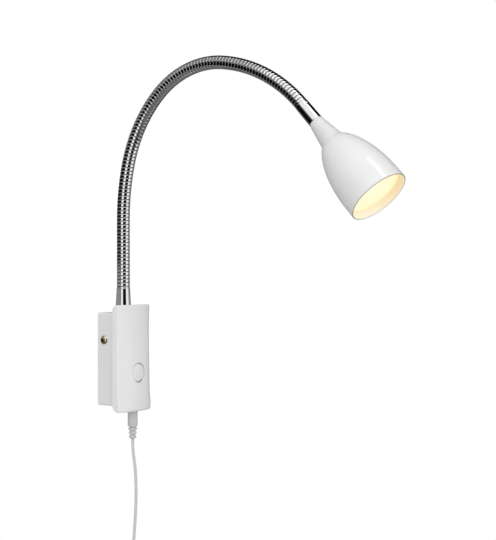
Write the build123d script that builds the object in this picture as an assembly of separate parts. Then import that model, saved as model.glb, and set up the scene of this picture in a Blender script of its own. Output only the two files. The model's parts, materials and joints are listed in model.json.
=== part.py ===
from build123d import *
import math
import os

# Wall-mounted reading lamp: a wall housing with a front cover and a round push button, a ribbed
# flexible arm, a bell shade with a lit diffuser, and a low-voltage lead with its plug-in supply.
# Millimetres. The wall is the plane Y = 0, the room lies towards -Y, and +Z is up. The origin is
# on the wall, at the middle of the wall bracket. "Depth" is the distance from the wall.

# Wall housing, the frame that hides the bracket
HOUSING_WIDTH = 42.0
HOUSING_HEIGHT = 91.4
HOUSING_DEPTH = 22.2
HOUSING_WALL = 2.0
HOUSING_CORNER = 2.0
HOUSING_REAR_EDGE = 1.2

# Wall bracket, folded steel strip
BRACKET_SHEET = 1.5
BRACKET_EAR_DEPTH = 14.0
BRACKET_EAR_HEIGHT = 22.0
BRACKET_CLEARANCE = 0.3
WALL_HOLE_SPACING = 50.0
WALL_HOLE_DIAMETER = 4.5

# Brass side screws that hold the housing to the bracket
SIDE_SCREW_DEPTH = 8.6
SIDE_SCREW_HEIGHT = 18.8
SIDE_SCREW_DIAMETER = 4.0
SIDE_SCREW_HEAD = 8.0
SIDE_SCREW_HEAD_THICKNESS = 1.7
SIDE_SCREW_LENGTH = 6.5
SIDE_RECESS_DIAMETER = 9.0
SIDE_RECESS_DEPTH = 1.9
SIDE_PAD_DIAMETER = 13.0
SIDE_PAD_THICKNESS = 2.0
CROSS_SLOT_WIDTH = 1.1
CROSS_SLOT_LENGTH = 5.0
CROSS_SLOT_DEPTH = 0.9
SCREW_CLEARANCE = 0.1

# Front cover, a moulded shell with an oval nose and a slight waist
COVER_WIDTH = 48.0
COVER_DROP = 5.8
COVER_RISE = 7.6
COVER_SIDE_DEPTH = 7.0
COVER_NOSE = 6.4
COVER_WALL = 2.2
COVER_TOP_RADIUS = 5.0
COVER_BOTTOM_RADIUS = 7.0
COVER_RIM = 0.8
WAIST_LEVELS = (0.0, 0.16, 0.51, 1.0)
WAIST_BULGES = (1.1, 1.3, -0.4, 0.5)
PLATE_THICKNESS = 2.0
PLATE_CLEARANCE = 0.25

# Screws that clamp housing, plate and cover together from behind
COVER_SCREW_DIAMETER = 3.0
COVER_SCREW_HEAD = 5.5
COVER_SCREW_HEAD_THICKNESS = 2.0
COVER_SCREW_BITE = 5.0
POST_DIAMETER = 7.0
POST_LENGTH = 12.0
POST_INSET = 2.8

# Push button and the switch behind it
BUTTON_DIAMETER = 19.0
BUTTON_HEIGHT = -13.5
BUTTON_GROOVE = 0.35
BUTTON_CROWN = 0.9
BUTTON_RIM_SINK = 0.7
BUTTON_LENGTH = 2.6
BUTTON_FLANGE = 1.1
BUTTON_FLANGE_THICKNESS = 1.0
BUTTON_TRAVEL = 1.5
SWITCH_SIDE = 12.0
SWITCH_FLOOR = 0.2
SWITCH_SPARE = 0.1
PLUNGER_DIAMETER = 5.0
PLUNGER_CLEARANCE = 0.3
PLUNGER_IN_SWITCH = 0.4

# Circuit board on the plate
BOARD_WIDTH = 36.0
BOARD_END_MARGIN = 12.7
BOARD_THICKNESS = 1.6
BOARD_STANDOFF = 0.8
STANDOFF_DIAMETER = 5.0
STANDOFF_INSET = 4.0
CHIP_SIZE = (7.0, 2.4, 6.0)
COIL_CHIP_DIAMETER = 8.0
COIL_CHIP_HEIGHT = 3.2
CAPACITOR_DIAMETER = 5.0
CAPACITOR_HEIGHT = 4.0

# Supply socket in the cover's bottom wall, and the plug in it
SOCKET_WIDTH = 9.0
SOCKET_DEPTH = 7.0
SOCKET_LENGTH = 13.0
SOCKET_BORE_DEPTH = 10.0
SOCKET_PIN_DIAMETER = 2.0
SOCKET_PIN_LENGTH = 9.0
SOCKET_CLEARANCE = 0.15
SOCKET_TAB = (1.6, 0.4, 8.0)
BARREL_DIAMETER = 5.5
BARREL_BORE = 2.5
BARREL_LENGTH = 9.5
PLUG_DIAMETER = 9.8
PLUG_LENGTH = 14.5
PLUG_EDGE = 0.8
RELIEF_LENGTH = 13.0
RELIEF_START_DIAMETER = 7.6
RELIEF_END_DIAMETER = 5.4
RELIEF_RIBS = 3
RELIEF_RIB_STANDS = 0.7
PLUG_HOLE_CLEARANCE = 0.35

# Flexible arm: ribbed tube in short lengths that rock on ball seats
ARM_DEPTH = 15.6
ARM_FOOT = 70.0
ARM_RIBS = 107
ARM_PITCH = 3.6
ARM_DIAMETER = 12.8
ARM_GROOVE = 1.0
ARM_CREST = 1.8
ARM_FLANK = 0.6
ARM_BORE = 6.0
ARM_TAIL = 12.0
ARM_ARCS = ((230.0, 14.0), (132.0, 32.0), (94.0, 52.0), (148.0, 39.4))
SWAY_JOINT_RIBS = (3, 8, 13, 18)
BEND_JOINT_RIBS = (27, 37, 45, 53, 59, 65, 71, 77, 84, 92, 101)
BALL_DIAMETER = 10.8
BALL_REACH = 3.0
BALL_CLEARANCE = 0.25

# Ferrules, stems and nuts at both ends of the arm
FERRULE_TOP_DIAMETER = 13.2
FERRULE_FOOT_DIAMETER = 15.0
FERRULE_FOOT_HEIGHT = 7.5
NECK_FERRULE_LENGTH = 23.0
NECK_FERRULE_START = 12.6
NECK_FERRULE_END = 13.1
TAIL_CLEARANCE = 0.1
STEM_DIAMETER = 8.0
STEM_LENGTH = 12.0
STEM_CLEARANCE = 0.1
NUT_ACROSS_FLATS = 12.0
NUT_THICKNESS = 4.0
WASHER_DIAMETER = 12.4
WASHER_THICKNESS = 1.0
FERRULE_NOTCH_CLEARANCE = 0.3

# Lead inside the arm
LEAD_DIAMETER = 3.6
LEAD_DROP = 18.0
LEAD_BEND = 5.0
LEAD_HOLE_CLEARANCE = 0.4

# Shade: conical neck and bell in one shell, with the lamp parts inside it
SHADE_LENGTH = 93.5
SHADE_WALL = 1.5
NECK_LENGTH = 22.1
NECK_START_DIAMETER = 13.2
NECK_END_DIAMETER = 21.2
NECK_SOLID_LENGTH = 12.0
BELL_DIAMETER = 56.8
BELL_RIM_LENGTH = 13.5
BELL_STEPS = 6
LIP_SHARE = 0.45
SINK_THICKNESS = 6.0
SINK_CLEARANCE = 0.25
SINK_FINS = 12
SINK_FIN_THICKNESS = 1.2
SINK_FIN_HEIGHT = 9.0
SINK_FIN_INNER = 6.0
SINK_FIN_OUTER = 18.0
LED_BOARD_DIAMETER = 40.0
LED_BOARD_THICKNESS = 1.6
LED_DIAMETER = 3.6
LED_HEIGHT = 0.7
LED_CIRCLE = 22.0
LED_COUNT = 6
LED_SCREW_CIRCLE = 33.0
LED_SCREW_DIAMETER = 2.5
LED_SCREW_HEAD = 4.6
LED_SCREW_HEAD_THICKNESS = 1.5
LED_SCREW_LENGTH = 5.0
REFLECTOR_WALL = 1.0
REFLECTOR_DEPTH = 19.5
REFLECTOR_CLEARANCE = 0.2
DIFFUSER_RECESS = 8.5
DIFFUSER_THICKNESS = 2.0
DIFFUSER_CLEARANCE = 0.25
RING_WIDTH = 2.0
RING_THICKNESS = 1.6

# Cord: hangs from the plug's relief, is wound in a tied coil and ends in the plug-in supply
CORD_DIAMETER = 3.0
CORD_ROUTE = (
    (0.0, 0.0, 0.0),
    (0.0, 0.0, -11.0),
    (1.5, -2.0, -27.0),
    (2.2, -2.9, -52.0),
    (1.6, -2.2, -78.0),
    (0.4, -0.9, -102.0),
    (0.0, -0.5, -120.0),
    (0.0, -0.5, -131.0),
)
COIL_OUTER_RADIUS = 23.5
COIL_TURNS_PER_LAYER = 3
COIL_STEP = 4.0
COIL_LAYERS = 4
COIL_LAYER_STEP = 4.0
COIL_MIN_GAP = 0.4
TIE_WIDTH = 6.0
TIE_THICKNESS = 1.0
TIE_CLEARANCE = 0.3
TAIL_LENGTH = 30.0

# Plug-in supply on the cord's end
SUPPLY_WIDTH = 32.0
SUPPLY_DEPTH = 26.0
SUPPLY_HEIGHT = 58.0
SUPPLY_WALL = 2.0
SUPPLY_EDGE = 3.0
SUPPLY_RELIEF_LENGTH = 11.0
SUPPLY_RELIEF_START = 7.0
SUPPLY_RELIEF_END = 5.0
PIN_DIAMETER = 4.0
PIN_LENGTH = 19.0
PIN_SPACING = 19.0
PIN_FROM_FOOT = 16.0
PIN_FLANGE = 7.0
CORE_CLEARANCE = 1.0

# Sizes that follow from those above
HOUSING_INNER_X = HOUSING_WIDTH / 2 - HOUSING_WALL
HOUSING_INNER_Z = HOUSING_HEIGHT / 2 - HOUSING_WALL
HOUSING_TOP = HOUSING_HEIGHT / 2
COVER_BOTTOM = -HOUSING_HEIGHT / 2 - COVER_DROP
COVER_TOP = HOUSING_TOP + COVER_RISE
COVER_REAR = HOUSING_DEPTH
NOSE_START = COVER_REAR + COVER_SIDE_DEPTH
NOSE_TIP = NOSE_START + COVER_NOSE
PLATE_FRONT = COVER_REAR + PLATE_THICKNESS
BOARD_HEIGHT = HOUSING_HEIGHT - 2 * BOARD_END_MARGIN
BOARD_BACK = PLATE_FRONT + BOARD_STANDOFF
BOARD_FRONT = BOARD_BACK + BOARD_THICKNESS
SWITCH_HEIGHT = SWITCH_FLOOR + SWITCH_SPARE + BUTTON_TRAVEL + PLUNGER_IN_SWITCH
SWITCH_FRONT = BOARD_FRONT + SWITCH_HEIGHT
SCREW_X = HOUSING_INNER_X - POST_INSET
SCREW_Z = HOUSING_INNER_Z - POST_INSET
PAD_INNER_X = HOUSING_INNER_X - SIDE_PAD_THICKNESS
PLUG_DEPTH = PLATE_FRONT + SOCKET_DEPTH / 2
OPENING_BOTTOM = COVER_BOTTOM + COVER_BOTTOM_RADIUS
OPENING_TOP = HOUSING_TOP
ARM_RADIUS = ARM_DIAMETER / 2
ARM_ROOT_RADIUS = ARM_RADIUS - ARM_GROOVE
ARM_LENGTH = ARM_RIBS * ARM_PITCH
ARM_STRAIGHT = ARM_LENGTH - sum(radius * math.radians(turn) for radius, turn in ARM_ARCS)
BELL_WIDEST = SHADE_LENGTH - BELL_RIM_LENGTH
BELL_AXIAL = (BELL_WIDEST - NECK_LENGTH) / math.sqrt(1 - (NECK_END_DIAMETER / BELL_DIAMETER) ** 2)
DIFFUSER_FRONT = SHADE_LENGTH - DIFFUSER_RECESS
DIFFUSER_BACK = DIFFUSER_FRONT - DIFFUSER_THICKNESS
SINK_FRONT = DIFFUSER_BACK - REFLECTOR_DEPTH
SINK_BACK = SINK_FRONT - SINK_THICKNESS
LED_FRONT = SINK_FRONT + LED_BOARD_THICKNESS
LED_SCREW_X = LED_SCREW_CIRCLE / 2
ALONG_X = (1.0, 0.0, 0.0)


def at(x, depth, z):
    return Vector(x, -depth, z)


def block(x_range, depth_range, z_range):
    """Box between two values on each axis."""
    size = [high - low for low, high in (x_range, depth_range, z_range)]
    middle = [(high + low) / 2 for low, high in (x_range, depth_range, z_range)]
    return Pos(at(*middle)) * Box(*size)


def rod(start, end, radius):
    """Round bar between two points."""
    return Plane(origin=start, z_dir=end - start) * extrude(Circle(radius), amount=(end - start).length)


def hexagon(across_flats, start, end):
    """Hexagonal bar between two points, with a flat facing the room."""
    corner_radius = across_flats / math.sqrt(3)
    outline = RegularPolygon(corner_radius, 6)
    plane = Plane(origin=start, x_dir=ALONG_X, z_dir=end - start)
    return plane * extrude(outline, amount=(end - start).length)


def turned(points):
    """Solid of revolution about Z from (radius, height) points."""
    outline = Polyline(*[(radius, height) for radius, height in points], close=True)
    return revolve(Plane.XZ * make_face(outline), Axis.Z)


def save(name, shape):
    export_step(shape, f"parts/{name}.step")


os.makedirs("parts", exist_ok=True)


# Wall bracket: strip with two ears, tapped for the side screws
def wall_bracket():
    half = PAD_INNER_X
    tall = HOUSING_INNER_Z - BRACKET_CLEARANCE
    shape = block((-half, half), (0, BRACKET_SHEET), (-tall, tall))
    ear_low = SIDE_SCREW_HEIGHT - BRACKET_EAR_HEIGHT / 2
    ear_high = SIDE_SCREW_HEIGHT + BRACKET_EAR_HEIGHT / 2
    for inner, outer in ((-half, -half + BRACKET_SHEET), (half - BRACKET_SHEET, half)):
        shape += block((inner, outer), (0, BRACKET_EAR_DEPTH), (ear_low, ear_high))
    ear_tips = shape.edges().filter_by(Axis.X).group_by(Axis.Y)[0]
    shape = fillet(ear_tips, BRACKET_EAR_HEIGHT / 6)
    tap = SIDE_SCREW_DIAMETER / 2 + SCREW_CLEARANCE / 2
    shape -= rod(
        at(-half - 1, SIDE_SCREW_DEPTH, SIDE_SCREW_HEIGHT),
        at(half + 1, SIDE_SCREW_DEPTH, SIDE_SCREW_HEIGHT),
        tap,
    )
    for z in (-WALL_HOLE_SPACING / 2, WALL_HOLE_SPACING / 2):
        shape -= rod(at(0, -1, z), at(0, BRACKET_SHEET + 1, z), WALL_HOLE_DIAMETER / 2)
    return shape


# Wall housing: open frame with corner posts, and a recessed pad for each side screw
def rear_housing():
    half_x = HOUSING_WIDTH / 2
    half_z = HOUSING_HEIGHT / 2
    outer = block((-half_x, half_x), (0, HOUSING_DEPTH), (-half_z, half_z))
    outer = fillet(outer.edges().filter_by(Axis.Y), HOUSING_CORNER)
    outer = fillet(outer.faces().sort_by(Axis.Y)[-1].edges(), HOUSING_REAR_EDGE)
    shape = outer - block(
        (-HOUSING_INNER_X, HOUSING_INNER_X),
        (-1, HOUSING_DEPTH + 1),
        (-HOUSING_INNER_Z, HOUSING_INNER_Z),
    )
    post_back = HOUSING_DEPTH - POST_LENGTH
    for x in (-SCREW_X, SCREW_X):
        for z in (-SCREW_Z, SCREW_Z):
            shape += rod(at(x, post_back, z), at(x, HOUSING_DEPTH, z), POST_DIAMETER / 2)
    for side in (-1, 1):
        shape += rod(
            at(side * PAD_INNER_X, SIDE_SCREW_DEPTH, SIDE_SCREW_HEIGHT),
            at(side * (half_x - HOUSING_WALL / 2), SIDE_SCREW_DEPTH, SIDE_SCREW_HEIGHT),
            SIDE_PAD_DIAMETER / 2,
        )
    for x in (-SCREW_X, SCREW_X):
        for z in (-SCREW_Z, SCREW_Z):
            hole = COVER_SCREW_DIAMETER / 2 + SCREW_CLEARANCE
            shape -= rod(at(x, post_back - 1, z), at(x, HOUSING_DEPTH + 1, z), hole)
    for side in (-1, 1):
        shape -= rod(
            at(side * (half_x - SIDE_RECESS_DEPTH), SIDE_SCREW_DEPTH, SIDE_SCREW_HEIGHT),
            at(side * (half_x + 1), SIDE_SCREW_DEPTH, SIDE_SCREW_HEIGHT),
            SIDE_RECESS_DIAMETER / 2,
        )
        shape -= rod(
            at(side * (PAD_INNER_X - 1), SIDE_SCREW_DEPTH, SIDE_SCREW_HEIGHT),
            at(side * half_x, SIDE_SCREW_DEPTH, SIDE_SCREW_HEIGHT),
            SIDE_SCREW_DIAMETER / 2 + SCREW_CLEARANCE,
        )
    stem_hole = STEM_DIAMETER / 2 + STEM_CLEARANCE
    shape -= rod(at(0, ARM_DEPTH, HOUSING_INNER_Z - 1), at(0, ARM_DEPTH, HOUSING_TOP + 1), stem_hole)
    return shape


def side_screw(side):
    """Cheese-head screw with a cross recess, seated in the recess of one side wall."""
    seat = HOUSING_WIDTH / 2 - SIDE_RECESS_DEPTH
    face = seat + SIDE_SCREW_HEAD_THICKNESS
    centre = (SIDE_SCREW_DEPTH, SIDE_SCREW_HEIGHT)
    shape = rod(at(side * seat, *centre), at(side * face, *centre), SIDE_SCREW_HEAD / 2)
    shape += rod(
        at(side * (seat - SIDE_SCREW_LENGTH), *centre),
        at(side * seat, *centre),
        SIDE_SCREW_DIAMETER / 2,
    )
    slot_x = sorted((side * (face - CROSS_SLOT_DEPTH), side * (face + 1)))
    long, narrow = CROSS_SLOT_LENGTH / 2, CROSS_SLOT_WIDTH / 2
    for half_depth, half_z in ((long, narrow), (narrow, long)):
        shape -= block(
            slot_x,
            (SIDE_SCREW_DEPTH - half_depth, SIDE_SCREW_DEPTH + half_depth),
            (SIDE_SCREW_HEIGHT - half_z, SIDE_SCREW_HEIGHT + half_z),
        )
    return shape


# Front cover
def cover_section(level, bulge, inset, rear):
    """Plan outline at one height: straight sides and a half-oval nose."""
    half = COVER_WIDTH / 2 - inset
    nose = COVER_NOSE + bulge - inset
    outline = [
        Line((-half, -rear), (-half, -NOSE_START)),
        EllipticalCenterArc((0, -NOSE_START), half, nose, start_angle=180, arc_size=180),
        Line((half, -NOSE_START), (half, -rear)),
        Line((half, -rear), (-half, -rear)),
    ]
    return Pos(0, 0, level) * make_face(outline)


def cover_loft(inset, rear):
    height = COVER_TOP - COVER_BOTTOM
    levels = [COVER_BOTTOM + share * height for share in WAIST_LEVELS]
    return loft([cover_section(z, bulge, inset, rear) for z, bulge in zip(levels, WAIST_BULGES)])


def cover_side_profile(inset):
    """Side outline with both rear corners rounded, as a slab across the whole width."""
    rear = COVER_REAR + inset
    low, high = COVER_BOTTOM + inset, COVER_TOP - inset
    front = NOSE_TIP + COVER_SIDE_DEPTH
    top_radius, bottom_radius = COVER_TOP_RADIUS - inset, COVER_BOTTOM_RADIUS - inset
    corner = math.sqrt(0.5)
    top = (COVER_REAR + COVER_TOP_RADIUS, COVER_TOP - COVER_TOP_RADIUS)
    bottom = (COVER_REAR + COVER_BOTTOM_RADIUS, COVER_BOTTOM + COVER_BOTTOM_RADIUS)
    outline = [
        Line((rear, bottom[1]), (rear, top[1])),
        ThreePointArc(
            (rear, top[1]),
            (top[0] - top_radius * corner, top[1] + top_radius * corner),
            (top[0], high),
        ),
        Line((top[0], high), (front, high)),
        Line((front, high), (front, low)),
        Line((front, low), (bottom[0], low)),
        ThreePointArc(
            (bottom[0], low),
            (bottom[0] - bottom_radius * corner, bottom[1] - bottom_radius * corner),
            (rear, bottom[1]),
        ),
    ]
    across = Plane(origin=(COVER_WIDTH, 0, 0), x_dir=(0, -1, 0), z_dir=(-1, 0, 0))
    return across * extrude(make_face(outline), amount=2 * COVER_WIDTH)


def front_cover():
    outer = cover_loft(0.0, COVER_REAR) & cover_side_profile(0.0)
    rims = outer.faces().sort_by(Axis.Z)[0].edges() + outer.faces().sort_by(Axis.Z)[-1].edges()
    rims = [edge for edge in rims if edge.geom_type != GeomType.LINE]
    outer = fillet(rims, COVER_RIM)
    shape = outer - (cover_loft(COVER_WALL, COVER_REAR) & cover_side_profile(COVER_WALL))
    inner_half = COVER_WIDTH / 2 - COVER_WALL
    shape -= block(
        (-inner_half, inner_half),
        (COVER_REAR - 1, COVER_REAR + COVER_WALL + 1),
        (OPENING_BOTTOM, OPENING_TOP),
    )
    for x in (-SCREW_X, SCREW_X):
        for z in (-SCREW_Z, SCREW_Z):
            boss = rod(at(x, PLATE_FRONT, z), at(x, NOSE_TIP, z), POST_DIAMETER / 2)
            shape += boss & outer
    for x in (-SCREW_X, SCREW_X):
        for z in (-SCREW_Z, SCREW_Z):
            pilot = COVER_SCREW_DIAMETER / 2 + SCREW_CLEARANCE
            shape -= rod(at(x, COVER_REAR, z), at(x, PLATE_FRONT + COVER_SCREW_BITE + 0.5, z), pilot)
    shape -= rod(
        at(0, NOSE_START - COVER_WALL, BUTTON_HEIGHT),
        at(0, NOSE_TIP + COVER_SIDE_DEPTH, BUTTON_HEIGHT),
        BUTTON_DIAMETER / 2 + BUTTON_GROOVE,
    )
    shape -= rod(
        at(0, PLUG_DEPTH, COVER_BOTTOM - 1),
        at(0, PLUG_DEPTH, COVER_BOTTOM + COVER_BOTTOM_RADIUS),
        BARREL_DIAMETER / 2 + PLUG_HOLE_CLEARANCE,
    )
    shape -= ferrule_notch()
    return shape


def ferrule_notch():
    """Room for the ferrule, which stands on the housing close behind the cover."""
    radius = FERRULE_FOOT_DIAMETER / 2 + FERRULE_NOTCH_CLEARANCE
    return rod(at(0, ARM_DEPTH, OPENING_TOP - 1), at(0, ARM_DEPTH, COVER_TOP + 1), radius)


# Plate that closes the cover from behind and carries the circuit board
def board_corners():
    x = BOARD_WIDTH / 2 - STANDOFF_INSET
    z = BOARD_HEIGHT / 2 - STANDOFF_INSET
    return [(sx * x, sz * z) for sx in (-1, 1) for sz in (-1, 1)]


def cover_plate():
    half = COVER_WIDTH / 2 - COVER_WALL - PLATE_CLEARANCE
    shape = block(
        (-half, half),
        (COVER_REAR, PLATE_FRONT),
        (OPENING_BOTTOM + PLATE_CLEARANCE, OPENING_TOP - PLATE_CLEARANCE),
    )
    for x, z in board_corners():
        shape += rod(at(x, COVER_REAR, z), at(x, BOARD_BACK, z), STANDOFF_DIAMETER / 2)
    for x in (-SCREW_X, SCREW_X):
        for z in (-SCREW_Z, SCREW_Z):
            hole = COVER_SCREW_DIAMETER / 2 + SCREW_CLEARANCE
            shape -= rod(at(x, COVER_REAR - 1, z), at(x, PLATE_FRONT + 1, z), hole)
    lead_hole = LEAD_DIAMETER / 2 + LEAD_HOLE_CLEARANCE
    shape -= rod(at(0, COVER_REAR - 1, lead_turn_height()), at(0, BOARD_BACK, lead_turn_height()), lead_hole)
    return shape


def cover_screw(x, z):
    head_back = HOUSING_DEPTH - POST_LENGTH - COVER_SCREW_HEAD_THICKNESS
    post_back = HOUSING_DEPTH - POST_LENGTH
    shape = rod(at(x, head_back, z), at(x, post_back, z), COVER_SCREW_HEAD / 2)
    tip = PLATE_FRONT + COVER_SCREW_BITE
    return shape + rod(at(x, post_back, z), at(x, tip, z), COVER_SCREW_DIAMETER / 2)


# Circuit board, its parts and the switch
def circuit_board():
    half_x, half_z = BOARD_WIDTH / 2, BOARD_HEIGHT / 2
    return block((-half_x, half_x), (BOARD_BACK, BOARD_FRONT), (-half_z, half_z))


def board_parts():
    chip_x, chip_depth, chip_z = CHIP_SIZE
    chip = block(
        (-BOARD_WIDTH / 4 - chip_x / 2, -BOARD_WIDTH / 4 + chip_x / 2),
        (BOARD_FRONT, BOARD_FRONT + chip_depth),
        (BOARD_HEIGHT / 4 - chip_z / 2, BOARD_HEIGHT / 4 + chip_z / 2),
    )
    coil_place = (BOARD_WIDTH / 5, BOARD_HEIGHT / 4)
    coil_back = at(coil_place[0], BOARD_FRONT, coil_place[1])
    coil_front = at(coil_place[0], BOARD_FRONT + COIL_CHIP_HEIGHT, coil_place[1])
    capacitor_back = at(0, BOARD_FRONT, BOARD_HEIGHT / 2 - CAPACITOR_DIAMETER)
    capacitor_front = at(0, BOARD_FRONT + CAPACITOR_HEIGHT, BOARD_HEIGHT / 2 - CAPACITOR_DIAMETER)
    return Compound(
        [
            *chip.solids(),
            *rod(coil_back, coil_front, COIL_CHIP_DIAMETER / 2).solids(),
            *rod(capacitor_back, capacitor_front, CAPACITOR_DIAMETER / 2).solids(),
        ]
    )


def switch_body():
    half = SWITCH_SIDE / 2
    shape = block(
        (-half, half),
        (BOARD_FRONT, SWITCH_FRONT),
        (BUTTON_HEIGHT - half, BUTTON_HEIGHT + half),
    )
    bore = PLUNGER_DIAMETER / 2 + PLUNGER_CLEARANCE
    return shape - rod(
        at(0, BOARD_FRONT + SWITCH_FLOOR, BUTTON_HEIGHT), at(0, SWITCH_FRONT + 1, BUTTON_HEIGHT), bore
    )


def button_stem_depth():
    """Where the button's stem meets the plunger."""
    return NOSE_TIP - BUTTON_RIM_SINK - BUTTON_LENGTH - BUTTON_FLANGE_THICKNESS


def switch_plunger():
    return rod(
        at(0, SWITCH_FRONT - PLUNGER_IN_SWITCH, BUTTON_HEIGHT),
        at(0, button_stem_depth(), BUTTON_HEIGHT),
        PLUNGER_DIAMETER / 2,
    )


def push_button():
    """Crowned cap with a stop flange behind the cover and a short stem."""
    radius = BUTTON_DIAMETER / 2
    rim = NOSE_TIP - BUTTON_RIM_SINK
    flange_front = rim - BUTTON_LENGTH
    flange_back = flange_front - BUTTON_FLANGE_THICKNESS
    ball = (radius**2 + BUTTON_CROWN**2) / (2 * BUTTON_CROWN)
    mid_height = rim + BUTTON_CROWN - ball + math.sqrt(ball**2 - (radius / 2) ** 2)
    outline = [
        Line((0, flange_back), (radius + BUTTON_FLANGE, flange_back)),
        Line((radius + BUTTON_FLANGE, flange_back), (radius + BUTTON_FLANGE, flange_front)),
        Line((radius + BUTTON_FLANGE, flange_front), (radius, flange_front)),
        Line((radius, flange_front), (radius, rim)),
        ThreePointArc((radius, rim), (radius / 2, mid_height), (0, rim + BUTTON_CROWN)),
        Line((0, rim + BUTTON_CROWN), (0, flange_back)),
    ]
    cap = revolve(Plane.XZ * make_face(outline), Axis.Z)
    return Plane(origin=at(0, 0, BUTTON_HEIGHT), x_dir=ALONG_X, z_dir=(0, -1, 0)) * cap


# Supply socket and the plug
def dc_socket():
    half = SOCKET_WIDTH / 2
    foot = COVER_BOTTOM + COVER_WALL
    shape = block((-half, half), (PLATE_FRONT, PLATE_FRONT + SOCKET_DEPTH), (foot, foot + SOCKET_LENGTH))
    tab_x, tab_depth, tab_z = SOCKET_TAB
    for side in (-1, 1):
        x = side * half / 2
        shape += block(
            (x - tab_x / 2, x + tab_x / 2),
            (BOARD_FRONT, BOARD_FRONT + tab_depth),
            (foot + SOCKET_LENGTH - 1, foot + SOCKET_LENGTH + tab_z),
        )
    shape &= cover_side_profile(COVER_WALL + SOCKET_CLEARANCE)
    bore = BARREL_DIAMETER / 2 + SOCKET_CLEARANCE
    return shape - rod(
        at(0, PLUG_DEPTH, foot - 1), at(0, PLUG_DEPTH, foot + SOCKET_BORE_DEPTH), bore
    )


def socket_pin():
    top = COVER_BOTTOM + COVER_WALL + SOCKET_BORE_DEPTH
    pin = rod(at(0, PLUG_DEPTH, top - SOCKET_PIN_LENGTH), at(0, PLUG_DEPTH, top), SOCKET_PIN_DIAMETER / 2)
    return pin


def plug_barrel():
    foot = at(0, PLUG_DEPTH, COVER_BOTTOM)
    end = at(0, PLUG_DEPTH, COVER_BOTTOM + BARREL_LENGTH)
    return rod(foot, end, BARREL_DIAMETER / 2) - rod(foot, end + Vector(0, 0, 1), BARREL_BORE / 2)


def plug_body():
    """Moulded grip that narrows to a ribbed relief where the cord leaves it."""
    radius = PLUG_DIAMETER / 2
    points = [(0, 0), (radius - PLUG_EDGE, 0), (radius, -PLUG_EDGE), (radius, PLUG_EDGE - PLUG_LENGTH)]
    points.append((radius - PLUG_EDGE, -PLUG_LENGTH))
    rib_pitch = RELIEF_LENGTH / RELIEF_RIBS
    for rib in range(RELIEF_RIBS):
        for share, stands in ((0.0, 0), (0.3, 0), (0.3, 1), (0.85, 1), (0.85, 0)):
            along = (rib + share) * rib_pitch
            core = RELIEF_START_DIAMETER + (RELIEF_END_DIAMETER - RELIEF_START_DIAMETER) * along / RELIEF_LENGTH
            points.append((core / 2 + stands * RELIEF_RIB_STANDS, -PLUG_LENGTH - along))
    points += [(RELIEF_END_DIAMETER / 2, -PLUG_LENGTH - RELIEF_LENGTH), (0, -PLUG_LENGTH - RELIEF_LENGTH)]
    return Pos(at(0, PLUG_DEPTH, COVER_BOTTOM)) * turned(points)


# Flexible arm
def arm_state(along):
    """Distance out from the arm's foot, height and heading (degrees above level) along the arm."""
    out, height, heading = 0.0, ARM_FOOT + min(along, ARM_STRAIGHT), 90.0
    left = along - ARM_STRAIGHT
    for radius, turn in ARM_ARCS:
        if left <= 0:
            break
        angle = min(math.degrees(left / radius), turn)
        start, end = math.radians(heading), math.radians(heading - angle)
        out += radius * (math.sin(start) - math.sin(end))
        height += radius * (math.cos(end) - math.cos(start))
        heading -= angle
        left -= radius * math.radians(angle)
    if left > 0:
        out += left * math.cos(math.radians(heading))
        height += left * math.sin(math.radians(heading))
    return out, height, heading


def arm_point(along):
    out, height, _ = arm_state(along)
    return at(0, ARM_DEPTH + out, height)


def arm_plane(along):
    """Plane square to the arm, with a steady X axis."""
    _, _, heading = arm_state(along)
    tangent = at(0, math.cos(math.radians(heading)), math.sin(math.radians(heading)))
    return Plane(origin=arm_point(along), x_dir=ALONG_X, z_dir=tangent)


def arm_tube(profile):
    """Ruled loft through one circle for each (place along the arm, radius)."""
    return loft([arm_plane(along) * Circle(radius) for along, radius in profile], ruled=True)


def rib_profile(first_rib, end_rib):
    """Root and crest circles of a run of ribs, without the outer flanks."""
    profile = []
    for rib in range(first_rib, end_rib):
        middle = (rib + 0.5) * ARM_PITCH
        crest, root = ARM_CREST / 2, ARM_CREST / 2 + ARM_FLANK
        profile += [(middle - root, ARM_ROOT_RADIUS), (middle - crest, ARM_RADIUS)]
        profile += [(middle + crest, ARM_RADIUS), (middle + root, ARM_ROOT_RADIUS)]
    return profile


def arm_link(first_rib, end_rib, has_socket, has_ball):
    """Run of ribs with a bore: a socket or tail at its start, and a ball or tail at its end."""
    start, end = first_rib * ARM_PITCH, end_rib * ARM_PITCH
    profile = rib_profile(first_rib, end_rib)
    profile = profile[1:] if has_socket else [(start - ARM_TAIL, ARM_ROOT_RADIUS)] + profile
    profile = profile[:-1] if has_ball else profile + [(end + ARM_TAIL, ARM_ROOT_RADIUS)]
    shape = arm_tube(profile)
    ball = BALL_DIAMETER / 2
    if has_ball:
        whole = arm_plane(end) * Sphere(ball)
        tip = arm_plane(end) * Pos(0, 0, BALL_REACH) * Cylinder(
            ball, ball, align=(Align.CENTER, Align.CENTER, Align.MIN)
        )
        shape += whole - tip
    if has_socket:
        shape -= arm_plane(start) * Sphere(ball + BALL_CLEARANCE)
    bore_ends = (start - ARM_TAIL - 1, end + ARM_TAIL + 1)
    middles = [(rib + 0.5) * ARM_PITCH for rib in range(first_rib, end_rib)]
    return shape - arm_tube([(along, ARM_BORE / 2) for along in (bore_ends[0], *middles, bore_ends[1])])


def arm_links():
    breaks = [*SWAY_JOINT_RIBS, *BEND_JOINT_RIBS]
    starts, ends = [0, *breaks], [*breaks, ARM_RIBS]
    last = len(starts) - 1
    return [
        arm_link(first, end, number > 0, number < last)
        for number, (first, end) in enumerate(zip(starts, ends))
    ]


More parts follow.
